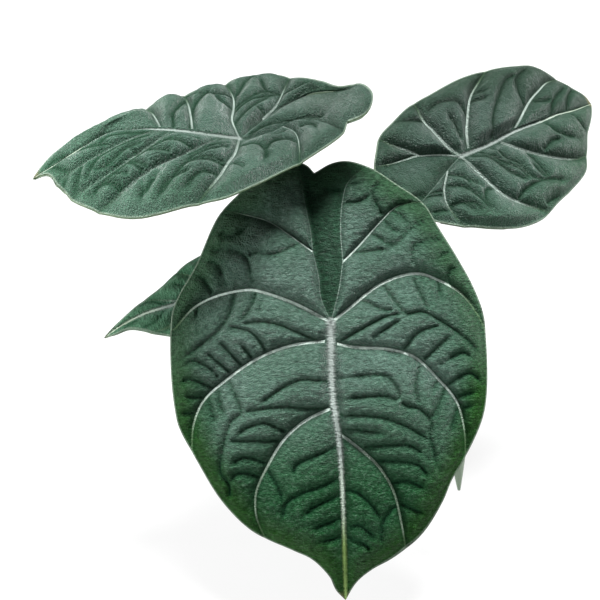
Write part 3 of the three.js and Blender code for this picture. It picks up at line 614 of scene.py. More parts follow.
def add_side(net, leaf, side, hub, tip, turn, fork_steps):
    """One side of a blade, from the tip panel to the lobe."""
    rows = leaf["rows"]
    spine = evenly(leaf["midrib"], SPINE_STEPS)
    rim = evenly(side["margin"], RIM_STEPS)
    rib = rib_edge(spine, turn)

    def vein_line(origin, points):
        dense = evenly([origin, *points[1:]], rows * 8)
        place = nearest(rim, points[-1])
        return spread(np.vstack([dense[:-1], rim[place]]), rows), place

    laterals = side["laterals"][::-1]
    starts = [nearest(spine, vein[0]) for vein in laterals]
    bright = side.get("bright", (1,) * (len(laterals) + 3))
    lines = [vein_line((0, 0), side["first"])]
    lines += [vein_line(rib[start], vein) for start, vein in zip(starts, laterals)]
    widths = [steps_between(near[0], next_[0]) for near, next_ in zip(lines, lines[1:])]

    ids = [net.line(hub, lines[0][0][1:], vein=0, clear=0, bright=bright[0])]
    rib_ids, rib_parts, last = [np.array([hub])], [], 0
    for start, columns, (line, _), pale in zip(starts, widths, lines[1:], bright[1:]):
        part = net.line(rib_ids[-1][-1], spread(rib[last : start + 1], columns)[1:], clear=0)
        rib_parts.append(part)
        rib_ids.append(part[1:])
        ids.append(net.line(part[-1], line[1:], vein=0, clear=0, bright=pale))
        last = start
    rest = net.line(rib_ids[-1][-1], spread(rib[last:], rows)[1:-1], tip, clear=0)
    rib_ids.append(rest[1:])
    costa = evenly(side["costa"], fork_steps)
    costa_ids = net.line(hub, costa[1:], vein=0, clear=0, bright=bright[-2])
    branch, branch_place = vein_line(costa[-1], side["branch"])
    lobe, lobe_place = vein_line(costa[-1], side["lobe"])
    branch_ids = net.line(costa_ids[-1], branch[1:], vein=0, clear=0, bright=bright[-1])
    lobe_ids = net.line(costa_ids[-1], lobe[1:], vein=0, clear=0, bright=bright[-2])

    def rim_ids(start, end, a, b, steps):
        return net.line(a, spread(rim[start : end + 1], steps)[1:-1], b)

    def lateral(k, shift):
        return lines[k][0], MAIN_VEIN, shift, bright[k]

    relief = leaf["relief"]
    far = len(lines) - 1
    edge = rim_ids(0, lines[far][1], tip, ids[far][-1], steps_between(rib[last:], lines[far][0]))
    net.panel(rest, ids[far], None, edge, [lateral(far, -VEIN_SHIFT)], relief)
    for k in range(far, 0, -1):
        edge = rim_ids(lines[k][1], lines[k - 1][1], ids[k][-1], ids[k - 1][-1], widths[k - 1])
        veins = [lateral(k, VEIN_SHIFT), lateral(k - 1, -VEIN_SHIFT)]
        net.panel(ids[k], ids[k - 1], rib_parts[k - 1][::-1], edge, veins, relief)
    lobe_veins = [(costa, MAIN_VEIN, 0, bright[-2]), (lobe, MINOR_VEIN, 0, bright[-2])]
    edge = rim_ids(lines[0][1], branch_place, ids[0][-1], branch_ids[-1], fork_steps)
    veins = [lateral(0, VEIN_SHIFT), lobe_veins[0], (branch, MINOR_VEIN, -VEIN_SHIFT, bright[-1])]
    net.panel(ids[0], branch_ids, costa_ids, edge, veins, relief)
    edge = rim_ids(branch_place, lobe_place, branch_ids[-1], lobe_ids[-1], steps_between(branch, lobe))
    veins = [(branch, MINOR_VEIN, VEIN_SHIFT, bright[-1]), lobe_veins[1]]
    net.panel(branch_ids, lobe_ids, None, edge, veins, relief)
    return {
        "rib": np.concatenate(rib_ids),
        "costa": np.concatenate([costa_ids, lobe_ids[1:]]),
        "veins": lobe_veins,
        "rest": lambda steps, notch: rim_ids(lobe_place, RIM_STEPS, lobe_ids[-1], notch, steps),
    }


def crease_gap(points, crease, away):
    """How far each point lies from a crease. Its ends fade out where they are away from a vein."""
    line = curve(crease, 8)
    gap, share = near_line(points, line)
    from_end = np.minimum(share, 1 - share) * length_of(line)
    return gap + 1.7 * ease(away, 3, 8) * (1 - ease(from_end, 0, CREASE_FADE))


def flat_net(leaf, creases):
    net = Net()
    spine = evenly(leaf["midrib"], leaf["rows"] * 2)
    hub = net.add(spine[0], vein=0, clear=0)[0]
    tip = net.add(spine[-1], clear=0)[0]
    notch = net.add(leaf["right"]["margin"][-1], -1)[0]
    centre = net.line(hub, spine[1:-1], tip, swell=-0.3, clear=0)
    fork_steps = max(14, leaf["rows"] // 3)
    right = add_side(net, leaf, leaf["right"], hub, tip, 1, fork_steps)
    left = add_side(net, leaf, leaf["left"], hub, tip, -1, fork_steps)
    net.strip(centre, right["rib"])
    net.strip(left["rib"], centre)
    steps = max(8, leaf["rows"] // 5)
    edge = np.concatenate([right["rest"](steps, notch), left["rest"](steps, notch)[::-1][1:]])
    veins, relief, values = right["veins"] + left["veins"], leaf["relief"], net.values
    sides = right["costa"], left["costa"]
    sinus, place = net.panel(*sides, None, edge, veins, relief, relief["notch"])
    # How much painted shade darkens the sinus panel, more towards the left costa.
    values["sinus"] = np.zeros(len(net.flat))
    values["sinus"][sinus] = relief["sinus"] * (0.5 + 0.5 * ease(place, 0.3, 0.9))
    margins = [evenly(leaf[side]["margin"], 130) for side in ("right", "left")]
    values["margin"] = np.minimum(*(near_line(net.flat, margin)[0] for margin in margins))
    values["spine"], values["share"] = near_line(net.flat, evenly(leaf["midrib"], 90))
    values["rib"] = values["spine"] / midrib_width(values["share"])
    away = np.minimum(values["clear"], values["spine"])
    values["groove"] = np.minimum.reduce([crease_gap(net.flat, crease, away) for crease in creases])
    return net


def height_of(arch, u, v):
    bend = np.where(u > 0, -arch["fall"], arch["back"])
    fold = arch["roof"] * ease(u, -10, 60)
    return arch["rise"] * u + bend * u * u - v * v / arch["dome"] - fold * (np.hypot(v, 4) - 4)


def frame_of(leaf):
    h, p, r = (math.radians(leaf[name]) for name in ("heading", "pitch", "roll"))
    ahead = np.array([math.cos(h), math.sin(h), 0])
    aside = np.array([-math.sin(h), math.cos(h), 0])
    up = np.array([0, 0, 1.0])
    over = ahead * math.sin(p) + up * math.cos(p)
    return (
        ahead * math.cos(p) - up * math.sin(p),
        aside * math.cos(r) + over * math.sin(r),
        over * math.cos(r) - aside * math.sin(r),
    )


def point_normals(points, faces):
    normals = np.zeros_like(points)
    a, b, c = (points[faces[:, k]] for k in range(3))
    each = np.cross(b - a, c - a)
    for k in range(3):
        np.add.at(normals, faces[:, k], each)
    return normals / np.maximum(lengths(normals)[:, None], 1e-12)


def loop_of(faces):
    """The border edges of a sheet, each once and in the faces' own direction."""
    edges = np.vstack([faces[:, [0, 1]], faces[:, [1, 2]], faces[:, [2, 0]]])
    size = faces.max() + 1
    keys, back = edges[:, 0] * size + edges[:, 1], edges[:, 1] * size + edges[:, 0]
    return edges[~np.isin(keys, back)]


def relief_of(net, level, seed):
    """The quilted relief over the bent sheet, and painted shade in its creases and beside its veins."""
    value = net.values
    u, v = net.flat.T
    clear = np.minimum(np.minimum(value["clear"], value["groove"]), FAR)
    puff = np.tanh(clear / (CREASE_ROUNDING * level["round"]))
    bend_u, bend_v = (1.5 * noise(u, v, 9, seed + k) for k in (2, 3))
    wrinkle = np.tanh(cell_borders(u + bend_u, (v + bend_v) / 1.7, WRINKLE_SIZE, seed) / 1.5)
    fine = WRINKLE_DEPTH * level["ripple"] * wrinkle
    fine = fine + 0.3 * noise(u, v, 5, seed) + 0.12 * noise(u, v, 2.2, seed + 1)
    near = 0.15 + 0.85 * ease(value["margin"], 0, 5)
    near = near * (0.3 + 0.7 * ease(value["spine"], 1, level["slope"]))
    relief = (1 + (level["swell"] - 1) * ease(value["margin"], 0, 12)) * value["swell"]
    relief = relief + level["crease"] * (CREASE_DEPTH + fine) * puff * near
    relief += 0.5 * (1 - 0.5 * value["share"]) * np.exp(-(value["rib"] ** 2))
    raised = level["rib"] * value["bright"] * np.exp(-(value["vein"] ** 2))
    relief += 0.6 * raised * ease(value["margin"], 0, 8)
    # Painted shade: the colour darkens in the creases, beside the main veins and along the wrinkles.
    shade = (0.4 + 0.6 * np.tanh(value["groove"] / 0.7)) * (0.65 + 0.35 * np.tanh(clear / 4))
    return relief, shade * (0.85 + 0.15 * wrinkle)


def thickness_of(net):
    """How thick the blade is, with the midrib, the veins and the stalk's boss raised below it."""
    value = net.values
    rib = RIB_DEPTH * (1 - 0.85 * value["share"]) * np.exp(-((value["rib"] * 0.9) ** 2))
    vein = 0.7 * np.exp(-((value["vein"] * 0.7) ** 2)) * ease(value["margin"], 0, 8)
    boss = 1.8 * np.exp(-((np.hypot(*net.flat.T) / 3.6) ** 2))
    plain = MARGIN_THICKNESS + (BLADE_THICKNESS - MARGIN_THICKNESS) * ease(value["margin"], 0, 3)
    return plain + np.maximum(np.maximum(rib, vein), boss) * ease(value["margin"], 0, 2)


def looks_of(net, level, shade, seed):
    """What the leaf's materials read at each point."""
    value = net.values
    u, v = net.flat.T
    seen = {key: np.minimum(value[key], FAR) for key in ("vein", "rib", "share")}
    seen["margin"] = value["margin"]
    # Painted shade in the colour: hollow darkens the sinus panel away from its veins, and puff carries
    # the painted shade of the creases and vein sides.
    hollow = 1 - 0.8 * value["sinus"] * ease(value["clear"], 0, 2)
    seen["puff"] = shade ** level["shade"] * hollow
    seen["ripple"] = np.clip(level["ripple"] * (1 + 0.2 * noise(u, v, 12, seed + 9)), 0, 1)
    seen["pale"] = level["pale"] * value["bright"] * (1 + 0.12 * noise(u, v, 9, seed + 4))
    seen["rib_pale"] = level["pale"] ** 0.7 * (1 + 0.12 * noise(u, v, 9, seed + 8))
    # Brightness: a random part, and a level and a slope across each blade that paint in light and shade.
    fade = 1 + u * level["fade"][0] + v * level["fade"][1]
    seen["tone"] = level["tone"] * fade * (1 + 0.1 * noise(u, v, 12, seed + 7))
    # Greener and darker towards the margin, the tip and in the sinus: partly the blade's own green,
    # partly painted shade where the blade turns from the light or lies in shadow.
    edge = value["margin"] + 4 * noise(u, v, 14, seed + 5) + 2 * noise(u, v, 5, seed + 6)
    outer = (1 - ease(edge, 4, 30)) * (0.6 + 0.4 * ease(value["share"], 0, 0.35))
    green = level["green"] * np.maximum(outer, 0.95 * ease(value["share"], 0.15, 0.62))
    seen["green"] = np.maximum(green, 0.5 * ease(value["sinus"], 0, 0.5))
    return seen


def build_blade(name, leaf, seed):
    """A closed blade. Returns the piece, and where and how its stalk meets it."""
    net = flat_net(leaf, CREASES[name])
    faces = np.vstack(net.faces)
    level = leaf["relief"]
    relief, shade = relief_of(net, level, seed)
    net.values["rib"] = net.values["rib"] / level["rib"]
    u, v = net.flat.T
    axis_u, axis_v, axis_w = frame_of(leaf)
    lift = height_of(leaf["arch"], u, v) + relief
    top = np.array(leaf["at"], float) + u[:, None] * axis_u + v[:, None] * axis_v
    top = top + lift[:, None] * axis_w
    drop = thickness_of(net) / np.clip(point_normals(top, faces) @ axis_w, 0.5, 1)
    under = top - drop[:, None] * axis_w
    normal = axis_w - leaf["arch"]["rise"] * axis_u
    count = len(top)
    a, b = loop_of(faces).T
    wall = np.vstack([np.stack([a, a + count, b], 1), np.stack([b, a + count, b + count], 1)])
    half = np.stack([u, v], 1) / UV_SPAN + 0.25
    piece = mesh_piece(
        f"leaf_{name}_blade",
        np.vstack([top, under]),
        np.vstack([faces, faces[:, ::-1] + count, wall]),
        [LOOKS["leaf"], LOOKS["leaf_back"], LOOKS["leaf_rim"]],
        slots=np.repeat([0, 1, 2], [len(faces), len(faces), len(wall)]),
        uv=np.vstack([half, half + 0.5]),
        values={key: np.tile(kept, 2) for key, kept in looks_of(net, level, shade, seed).items()},
    )
    return piece, under[0], normal / np.linalg.norm(normal)


# Pieces


def add_object(name, data):
    thing = bpy.data.objects.new(name, data)
    bpy.context.scene.collection.objects.link(thing)
    return thing


def mesh_piece(name, points, faces, materials, slots=None, uv=None, values=None):
    """Makes a smooth mesh from millimetres. values are kept at its points for the materials."""
    mesh = bpy.data.meshes.new(name)
    faces = np.asarray(faces, np.int32)
    points = np.asarray(points, float)
    mesh.vertices.add(len(points))
    mesh.vertices.foreach_set("co", (points * MM).ravel())
    corners = faces.shape[1]
    mesh.loops.add(faces.size)
    mesh.loops.foreach_set("vertex_index", faces.ravel())
    mesh.polygons.add(len(faces))
    mesh.polygons.foreach_set("loop_start", np.arange(0, faces.size, corners, dtype=np.int32))
    mesh.update(calc_edges=True)
    mesh.polygons.foreach_set("use_smooth", np.ones(len(faces), bool))
    if slots is not None:
        mesh.polygons.foreach_set("material_index", np.asarray(slots, np.int32))
    if uv is not None:
        layer = mesh.uv_layers.new(name="UVMap")
        layer.uv.foreach_set("vector", np.asarray(uv, np.float32)[faces.ravel()].ravel())
    for key, value in (values or {}).items():
        attribute = mesh.attributes.new(key, "FLOAT", "POINT")
        attribute.data.foreach_set("value", np.asarray(value, np.float32))
    for material in materials:
        mesh.materials.append(material)
    mesh.validate()
    return add_object(name, mesh)


def own(piece, node):
    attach(piece, "root")
    if node:
        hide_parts(node)


def lathe(radii, heights, sides):
    """Rings of points around the upright axis."""
    angle = np.linspace(0, 2 * math.pi, sides, endpoint=False)
    radii, heights = (np.asarray(row, float)[:, None] for row in (radii, heights))
    return np.stack([radii * np.cos(angle), radii * np.sin(angle), heights + 0 * angle], -1)


def rings_along(path, turn, out):
    """Rings of points around a path, at turns and distances out, without needless turning."""
    ahead = headings(path)
    start = np.eye(3)[np.abs(ahead[0]).argmin()]
    asides = [np.cross(ahead[0], np.cross(ahead[0], start))]
    for direction in ahead:
        aside = asides[-1] - direction * asides[-1].dot(direction)
        asides.append(aside / np.linalg.norm(aside))
    asides = np.array(asides[1:])
    rings = path[:, None] + asides[:, None] * (np.cos(turn) * out)[..., None]
    return rings + np.cross(ahead, asides)[:, None] * (np.sin(turn) * out)[..., None]


def skin(rings, low, high):
    """Points and triangles of a closed skin over rings, with one more point at each end."""
    count, size, _ = rings.shape
    k = np.arange(size)
    after, start = (k + 1) % size, np.arange(count - 1)[:, None] * size
    a, b = (start + k).ravel(), (start + after).ravel()
    first, last = np.full(size, count * size), np.full(size, count * size + 1)
    k_top, after_top = k + (count - 1) * size, after + (count - 1) * size
    walls = [(a, b, b + size), (a, b + size, a + size)]
    ends = [(after, k, first), (k_top, after_top, last)]
    triangles = np.vstack([np.stack(corners, 1) for corners in walls + ends])
    return np.vstack([rings.reshape(-1, 3), low, high]), triangles


def over_skin(values, rings, high=0):
    """A value for each point of a skin, with 0 and high at its two ends."""
    return np.append(np.broadcast_to(values, rings.shape[:2]), [0, high])


def foot_of(stalk):
    angle = math.radians(stalk["foot"])
    return math.cos(angle) * STALK_CIRCLE, math.sin(angle) * STALK_CIRCLE


def build_stalk(name, stalk, join, normal, steps=110, sides=28):
    """A tapered stalk, wide at its foot and cut along the blade's underside at its end."""
    x, y = foot_of(stalk)
    end = join - normal * 0.4
    foot = [(x * 0.9, y * 0.9, SOIL_HEIGHT - STALK_FOOT_DEPTH), (x, y, SOIL_HEIGHT - 4)]
    path = evenly([*foot, *stalk["via"], end + np.array(stalk["bend"]), end], steps)
    share = np.linspace(0, 1, steps + 1)[:, None]
    left = (1 - share) * length_of(path)
    swell = 0.35 * (1 - share) + 0.65 * (1 - ease(share, 0, 0.45))
    radius = stalk["top"] + (STALK_FOOT_RADIUS - stalk["top"]) * swell + 0.5 * np.exp(-left / 4)
    turn = np.linspace(0, 2 * math.pi, sides, endpoint=False)
    ridges = 1 + 0.02 * np.sin(turn * 7) * ease(share, 0, 0.3)
    rings = rings_along(path, turn, radius * ridges)
    ahead = path[-1] - path[-2]
    tilt = ((path[-1] - rings[-1]) @ normal) / (ahead @ normal)
    rings += (np.exp(-((left / 5) ** 2)) * tilt)[..., None] * ahead
    grown = over_skin(share, rings, 1)
    piece = mesh_piece(
        f"stem_{name}_stalk",
        *skin(rings, path[0], path[-1]),
        [LOOKS["stalk"]],
        uv=np.stack([over_skin(turn / (2 * math.pi), rings), grown], 1),
        values={"grown": grown},
    )
    own(piece, f"stem_{name}")


def build_young_leaf(steps=120, sides=72):
    """A rolled blade hanging from its stalk, its outer edge standing proud of the turn below."""
    path = evenly([ROLL_TOP, ROLL_MIDDLE, ROLL_TIP], steps)
    share = np.linspace(0, 1, steps + 1)[:, None]
    profile = evenly(np.stack([np.linspace(0, 100, len(ROLL_RADII)), ROLL_RADII], 1), 400)
    radius = np.interp(share * 100, *profile.T)
    around = np.linspace(0, 1, sides + 1)
    turn = (around * 0.985 + 0.2) * 2 * math.pi + ROLL_TWIST * share
    edge = ROLL_EDGE_STEP * around * np.minimum(1, radius / 6)
    veins = -0.22 * np.exp(-(((around * 9 + share * 16) % 1 - 0.5) ** 2) / 0.006)
    veins = veins * ease(radius, 1.5, 5) * ease(around, 0.02, 0.1) * (1 - ease(around, 0.9, 0.98))
    rings = rings_along(path, turn, radius + edge + veins)
    values = {
        "grown": over_skin(share, rings, 1),
        "seam": over_skin(np.minimum(around, 1 - around), rings),
        "line": over_skin(np.abs(veins), rings),
    }
    piece = mesh_piece(
        "leaf_young_roll",
        *skin(rings, path[0], path[-1]),
        [LOOKS["young"]],
        uv=np.stack([over_skin(around, rings), values["grown"]], 1),
        values=values,
    )
    own(piece, "leaf_young")


def soil_height(x, y):
    mounds = np.sin(x * 0.17 + 1.3) * np.cos(y * 0.21 - 0.4) + 0.6 * np.sin(x * 0.31 - y * 0.27)
    return SOIL_HEIGHT + 0.9 * mounds + 1.6 * (1 - ease(np.hypot(x, y), 10, 48))


def crumbs(x, y):
    """Crumbly relief of the potting mix."""
    coarse = 0.8 * noise(x, y, 4.5, 3) + 0.6 * np.abs(noise(x, y, 2.3, 4))
    return coarse + 0.35 * noise(x, y, 1.1, 5)


def build_soil(rings=96, sectors=300):
    wall = POT_SHOULDER_RADIUS - POT_WALL - FIT_GAP
    bottom = 80.0
    radius = np.linspace(0.4, wall + 0.7, rings)
    ring = lathe([*radius, wall], np.full(rings + 1, bottom), sectors)
    x, y = ring[:-1, :, 0], ring[:-1, :, 1]
    z = soil_height(x, y) + crumbs(x, y) * (1 - ease(radius, *CRUMB_FADE)[:, None])
    # A low heap around each stalk, and a hollow under it
    for foot_x, foot_y in map(foot_of, STALKS.values()):
        gap = np.hypot(x - foot_x, y - foot_y)
        z = z + 1.6 * np.exp(-(((gap - 5) / 3) ** 2)) - 1.5 * (gap < 4)
    ring[:-1, :, 2] = z
    points, triangles = skin(ring, [0, 0, z[0].mean()], [0, 0, bottom])
    uv = points[:, :2] / 120 + 0.5
    piece = mesh_piece("soil_top", points, triangles[:, ::-1], [LOOKS["soil"]], uv=uv)
    own(piece, "soil")


def lump(rng, size, flat):
    """An uneven lump on a coarse ball."""
    t = (1 + math.sqrt(5)) / 2
    corners = np.array(
        [(-1, t, 0), (1, t, 0), (-1, -t, 0), (1, -t, 0), (0, -1, t), (0, 1, t)]
        + [(0, -1, -t), (0, 1, -t), (t, 0, -1), (t, 0, 1), (-t, 0, -1), (-t, 0, 1)],
        float,
    )
    faces = (
        [(0, 11, 5), (0, 5, 1), (0, 1, 7), (0, 7, 10), (0, 10, 11), (1, 5, 9), (5, 11, 4)]
        + [(11, 10, 2), (10, 7, 6), (7, 1, 8), (3, 9, 4), (3, 4, 2), (3, 2, 6), (3, 6, 8)]
        + [(3, 8, 9), (4, 9, 5), (2, 4, 11), (6, 2, 10), (8, 6, 7), (9, 8, 1)]
    )
    points, split, known = [*corners], [], {}

    def middle(a, b):
        key = (min(a, b), max(a, b))
        if key not in known:
            points.append((points[a] + points[b]) / 2)
            known[key] = len(points) - 1
        return known[key]

    for a, b, c in faces:
        ab, bc, ca = middle(a, b), middle(b, c), middle(c, a)
        split += [(a, ab, ca), (b, bc, ab), (c, ca, bc), (ab, bc, ca)]
    ball = np.array(points)
    ball /= lengths(ball)[:, None]
    ball *= 1 + rng.uniform(-0.22, 0.22, (len(ball), 1))
    ball *= size * np.array([1, rng.uniform(0.55, 0.9), flat])
    angle, tilt = rng.uniform(0, 2 * math.pi), rng.uniform(-0.4, 0.4)
    cos, sin = math.cos(angle), math.sin(angle)
    spin = np.array([[cos, -sin, 0], [sin, cos, 0], [0, 0, 1]])
    cos, sin = math.cos(tilt), math.sin(tilt)
    lean = np.array([[1, 0, 0], [0, cos, -sin], [0, sin, cos]])
    return ball @ (spin @ lean).T, np.array(split)


def scatter(name, count, sizes, flat, look, seed):
    """Loose pieces half sunk in the soil, clear of the stalks and of each other."""
    rng = np.random.default_rng(seed)
    feet = [foot_of(stalk) for stalk in STALKS.values()]
    placed, points, faces, tint = [], [], [], []
    for _ in range(count * 6):
        if len(placed) == count:
            break
        size = rng.uniform(*sizes)
        reach, angle = SCATTER_RADIUS * math.sqrt(rng.uniform()), rng.uniform(0, 2 * math.pi)
        x, y = reach * math.cos(angle), reach * math.sin(angle)
        if any(math.hypot(x - fx, y - fy) < 5.2 + size for fx, fy in feet):
            continue
        if any(math.hypot(x - px, y - py) < 0.8 * (size + other) for px, py, other in placed):
            continue
        ball, split = lump(rng, size, flat)
        height = soil_height(x, y) + float(crumbs(np.array(x), np.array(y))) + size * flat * 0.25
        placed.append((x, y, size))
        faces.append(split + sum(len(p) for p in points))
        points.append(ball + [x, y, height])
        tint.append(np.full(len(ball), rng.uniform()))
    values = {"tint": np.concatenate(tint)}
    piece = mesh_piece(name, np.vstack(points), np.vstack(faces), [look], values=values)
    piece.data.polygons.foreach_set("use_smooth", np.zeros(len(piece.data.polygons), bool))
    own(piece, None)


def build_pot(sides=144):
    """A plain nursery pot: a tapered wall under a rolled rim, with drain holes in its floor."""
    rim, shoulder, base = POT_RIM_RADIUS, POT_SHOULDER_RADIUS, POT_BASE_RADIUS
    ledge, top, floor = POT_SHOULDER_HEIGHT, POT_HEIGHT, POT_FLOOR + 1.8
    profile = [
        (0, 2.2), (base - 13, 2.2), (base - 10.5, 1.6), (base - 8, 0.4), (base - 6, 0),
        (base - 1.5, 0), (base - 0.4, 0.4), (base, 1.5), (base + 0.9, 8), (base + 1.25, 8.5),
        (base + 1.4, 9.5), (base + 1.2, 10.4), (base + 1.4, 11.6), (shoulder - 1.1, ledge - 9),
        (shoulder - 0.6, ledge - 8.4), (shoulder - 0.5, ledge - 4), (shoulder, ledge - 0.6),
        (shoulder + 0.6, ledge),
        (rim - 1.6, ledge + 0.4), (rim - 1, ledge + 0.9), (rim - 0.8, ledge + 2), (rim - 0.4, top - 4.2),
        (rim - 0.05, top - 3.4), (rim, top - 1.4), (rim - 0.25, top - 0.5), (rim - 0.8, top),
        (rim - 1.7, top), (rim - 2.3, top - 0.5), (rim - 2.5, top - 1.4), (rim - 2.7, ledge + 4),
        (shoulder - POT_WALL + 0.4, ledge + 1), (shoulder - POT_WALL, ledge - 1),
        (base - POT_WALL, POT_FLOOR + 3), (base - POT_WALL - 1, floor), (0, floor),
    ]
    radii, heights = np.array(profile, float).T
    rings = lathe(radii[1:-1], heights[1:-1], sides)
    shell = skin(rings, [0, 0, heights[0]], [0, 0, heights[-1]])
    piece = mesh_piece("pot_shell", *shell, [LOOKS["pot"]])
    for index in range(DRAIN_HOLES):
        turn = index / DRAIN_HOLES * 2 * math.pi
        drill(piece, math.cos(turn) * DRAIN_CIRCLE, math.sin(turn) * DRAIN_CIRCLE)
    own(piece, "pot")


def drill(piece, x, y, height=14, sides=28):
    """Cuts an upright drain hole through the piece."""
    rings = lathe([DRAIN_RADIUS] * 2, [-height / 2, height / 2], sides) + [x, y, 0]
    cutter = mesh_piece("cutter", *skin(rings, [x, y, -height / 2], [x, y, height / 2]), [])
    cut = piece.modifiers.new("drain", "BOOLEAN")
    cut.operation, cut.solver, cut.object = "DIFFERENCE", "EXACT", cutter
    bpy.context.view_layer.update()
    shaped = piece.evaluated_get(bpy.context.evaluated_depsgraph_get())
    shaped = bpy.data.meshes.new_from_object(shaped)
    piece.modifiers.remove(cut)
    piece.data = shaped
    bpy.data.objects.remove(cutter)


# Materials


class Field:
    """A value over a surface. Sums, differences and products of fields are nodes too."""

    def __init__(self, shader, socket):
        self.shader, self.socket = shader, socket

    def __add__(self, other):
        return self.shader.math("ADD", self, other)

    def __sub__(self, other):
        return self.shader.math("SUBTRACT", self, other)

    def __mul__(self, other):
        return self.shader.math("MULTIPLY", self, other)


class Shader:
    """A material's node tree, built from the inputs to the surface."""

    def __init__(self, name):
        self.material = bpy.data.materials.new(name)
        self.material.use_nodes = True
        self.tree = self.material.node_tree

    def feed(self, socket, value):
        if isinstance(value, Field):
            self.tree.links.new(value.socket, socket)
        else:
            socket.default_value = (*value, 1) if socket.type == "RGBA" else value

    def node(self, kind, output, inputs, **settings):
        node = self.tree.nodes.new(kind)
        for key, value in settings.items():
            setattr(node, key, value)
        for place, value in inputs.items():
            self.feed(node.inputs[place], value)
        return Field(self, node.outputs[output])

    def value(self, name):
        return self.node("ShaderNodeAttribute", "Fac", {}, attribute_name=name)

    def place(self, kind="Object", scale=(1 / MM, 1 / MM, 1 / MM)):
        """Texture coordinates, times scale. An object's own come in millimetres."""
        inputs = {"Vector": self.node("ShaderNodeTexCoord", kind, {}), "Scale": scale}
        return self.node("ShaderNodeMapping", "Vector", inputs)

    def math(self, operation, first, second):
        return self.node("ShaderNodeMath", 0, {0: first, 1: second}, operation=operation)

    def span(self, value, low, high, start, end, kind="LINEAR"):
        """start at low and end at high, and no further than either."""
        inputs = {"Value": value, "From Min": low, "From Max": high, "To Min": start, "To Max": end}
        return self.node("ShaderNodeMapRange", "Result", inputs, interpolation_type=kind)

    def step(self, value, low, high, start=0.0, end=1.0):
        """As span, but smooth, and low may be above high."""
        return self.span(value, low, high, start, end, "SMOOTHSTEP")

    def uneven(self, grain, low, high):
        """A roughness between low and high that follows a noise."""
        return self.span(grain, 0.3, 0.7, low, high)

    def noise(self, vector, scale, detail=2.0, roughness=0.5):
        inputs = {"Vector": vector, "Scale": scale, "Detail": detail, "Roughness": roughness}
        return self.node("ShaderNodeTexNoise", "Fac", inputs)

    def cells(self, vector, scale, feature="F1"):
        inputs = {"Vector": vector, "Scale": scale}
        return self.node("ShaderNodeTexVoronoi", "Distance", inputs, feature=feature)

    def mix(self, factor, first, second, blend="MIX"):
        inputs = {0: factor, 6: first, 7: second}
        return self.node("ShaderNodeMix", 2, inputs, data_type="RGBA", blend_type=blend)

    def bump(self, height, strength, distance):
        inputs = {"Height": height, "Strength": strength, "Distance": distance}
        return self.node("ShaderNodeBump", "Normal", inputs)

    def finish(self, body, rough, normal=None, **inputs):
        inputs = {"Base_Color": body, "Roughness": rough, **inputs}
        if normal:
            inputs["Normal"] = normal
        surface = self.tree.nodes["Principled BSDF"]
        for key, value in inputs.items():
            self.feed(surface.inputs[key.replace("_", " ")], value)
        return self.material


def leaf_ground(s, at, flat, dashes):
    """Grey green, greener to the margin, with painted shade in the creases and pale hair that paints a
    highlight on the crests.
    """
    margin, puff, green = at["margin"], at["puff"], at["green"]
    body = s.step(s.noise(flat, 0.045, 3), 0.35, 0.68)
    body = s.mix(body, (0.030, 0.078, 0.052), (0.046, 0.099, 0.073))
    # Greener and darker to the margin and the tip: partly the blade's own green, partly painted shade.
    greener = s.mix(s.step(margin, 18, 4), (0.006, 0.046, 0.013), (0.010, 0.050, 0.006))
    body = s.mix(green, body, greener)
    # Painted shade: dark green in the creases, beside the main veins and in the sinus.
    body = s.mix(s.step(puff, 0.1, 0.95), (0.005, 0.027, 0.012), body)
    # The hair's grain, times a brightness that partly paints in light and shade.
    body = s.mix(1.0, body, s.span(dashes, 0.35, 0.65, 0.55, 1.55) * at["tone"], "MULTIPLY")
    # Pale hair kept to the crests, where it also paints a highlight.
    hair_and_crest_highlight = s.step(dashes, 0.48, 0.66) * s.step(puff, 0.35, 1.0) * s.step(margin, 2, 14, 0.3, 1.0)
    return s.mix(hair_and_crest_highlight * s.span(green, 0, 1, 0.5, 0.4), body, (0.115, 0.148, 0.128))


def leaf_veins(s, at, body, grain):
    """Pale main veins, greener far out, and the light line of the margin."""
    margin = at["margin"]
    mask = s.step(at["vein"] + (grain - 0.5), 1.5, 0.4)
    mask = mask * s.step(margin, 1, 12, 0.4, 1.0) * s.step(at["rib"], 2, 9, 0.55, 1.0)
    far_out = s.math("MAXIMUM", s.step(margin, 16, 3), s.step(at["green"], 0.35, 0.95, 0, 0.75))
    colour = s.mix(far_out, (0.74, 0.88, 0.80), (0.13, 0.22, 0.11))
    body = s.mix(mask * at["pale"], body, colour)
    body = s.mix(s.step(margin, 0.9, 0.35, 0, 0.6), body, (0.26, 0.34, 0.26))
    return s.mix(s.step(at["share"], 0.955, 0.99, 0, 0.8), body, (0.15, 0.14, 0.055))


def leaf_midrib(s, at, body):
    """The midrib, grey at the stalk, then pale, and yellow green to the tip. Returns its mask too."""
    share, green = at["share"], at["green"]
    feather = s.noise(s.place("UV", (420, 110, 1)), 1.0, 3)
    widening = s.step(share, 0.6, 0.9) * s.step(green, 0.3, 0.8)
    reach = (at["rib"] + (feather - 0.5) * 1.8) * s.span(widening, 0, 1, 1.0, 0.55)
    mask = s.step(reach, 1.5, 0.35)
    colour = s.mix(s.step(share, 0.05, 0.35), (0.26, 0.30, 0.28), (0.38, 0.44, 0.41))
    colour = s.mix(s.step(share, 0.45, 0.6), colour, (0.58, 0.68, 0.58))
    tip = s.step(share, 0.64, 0.80) * s.step(green, 0.3, 0.8, 0.15, 1.0)
    colour = s.mix(tip, colour, (0.28, 0.42, 0.14))
    return s.mix(mask * at["rib_pale"], body, colour), mask


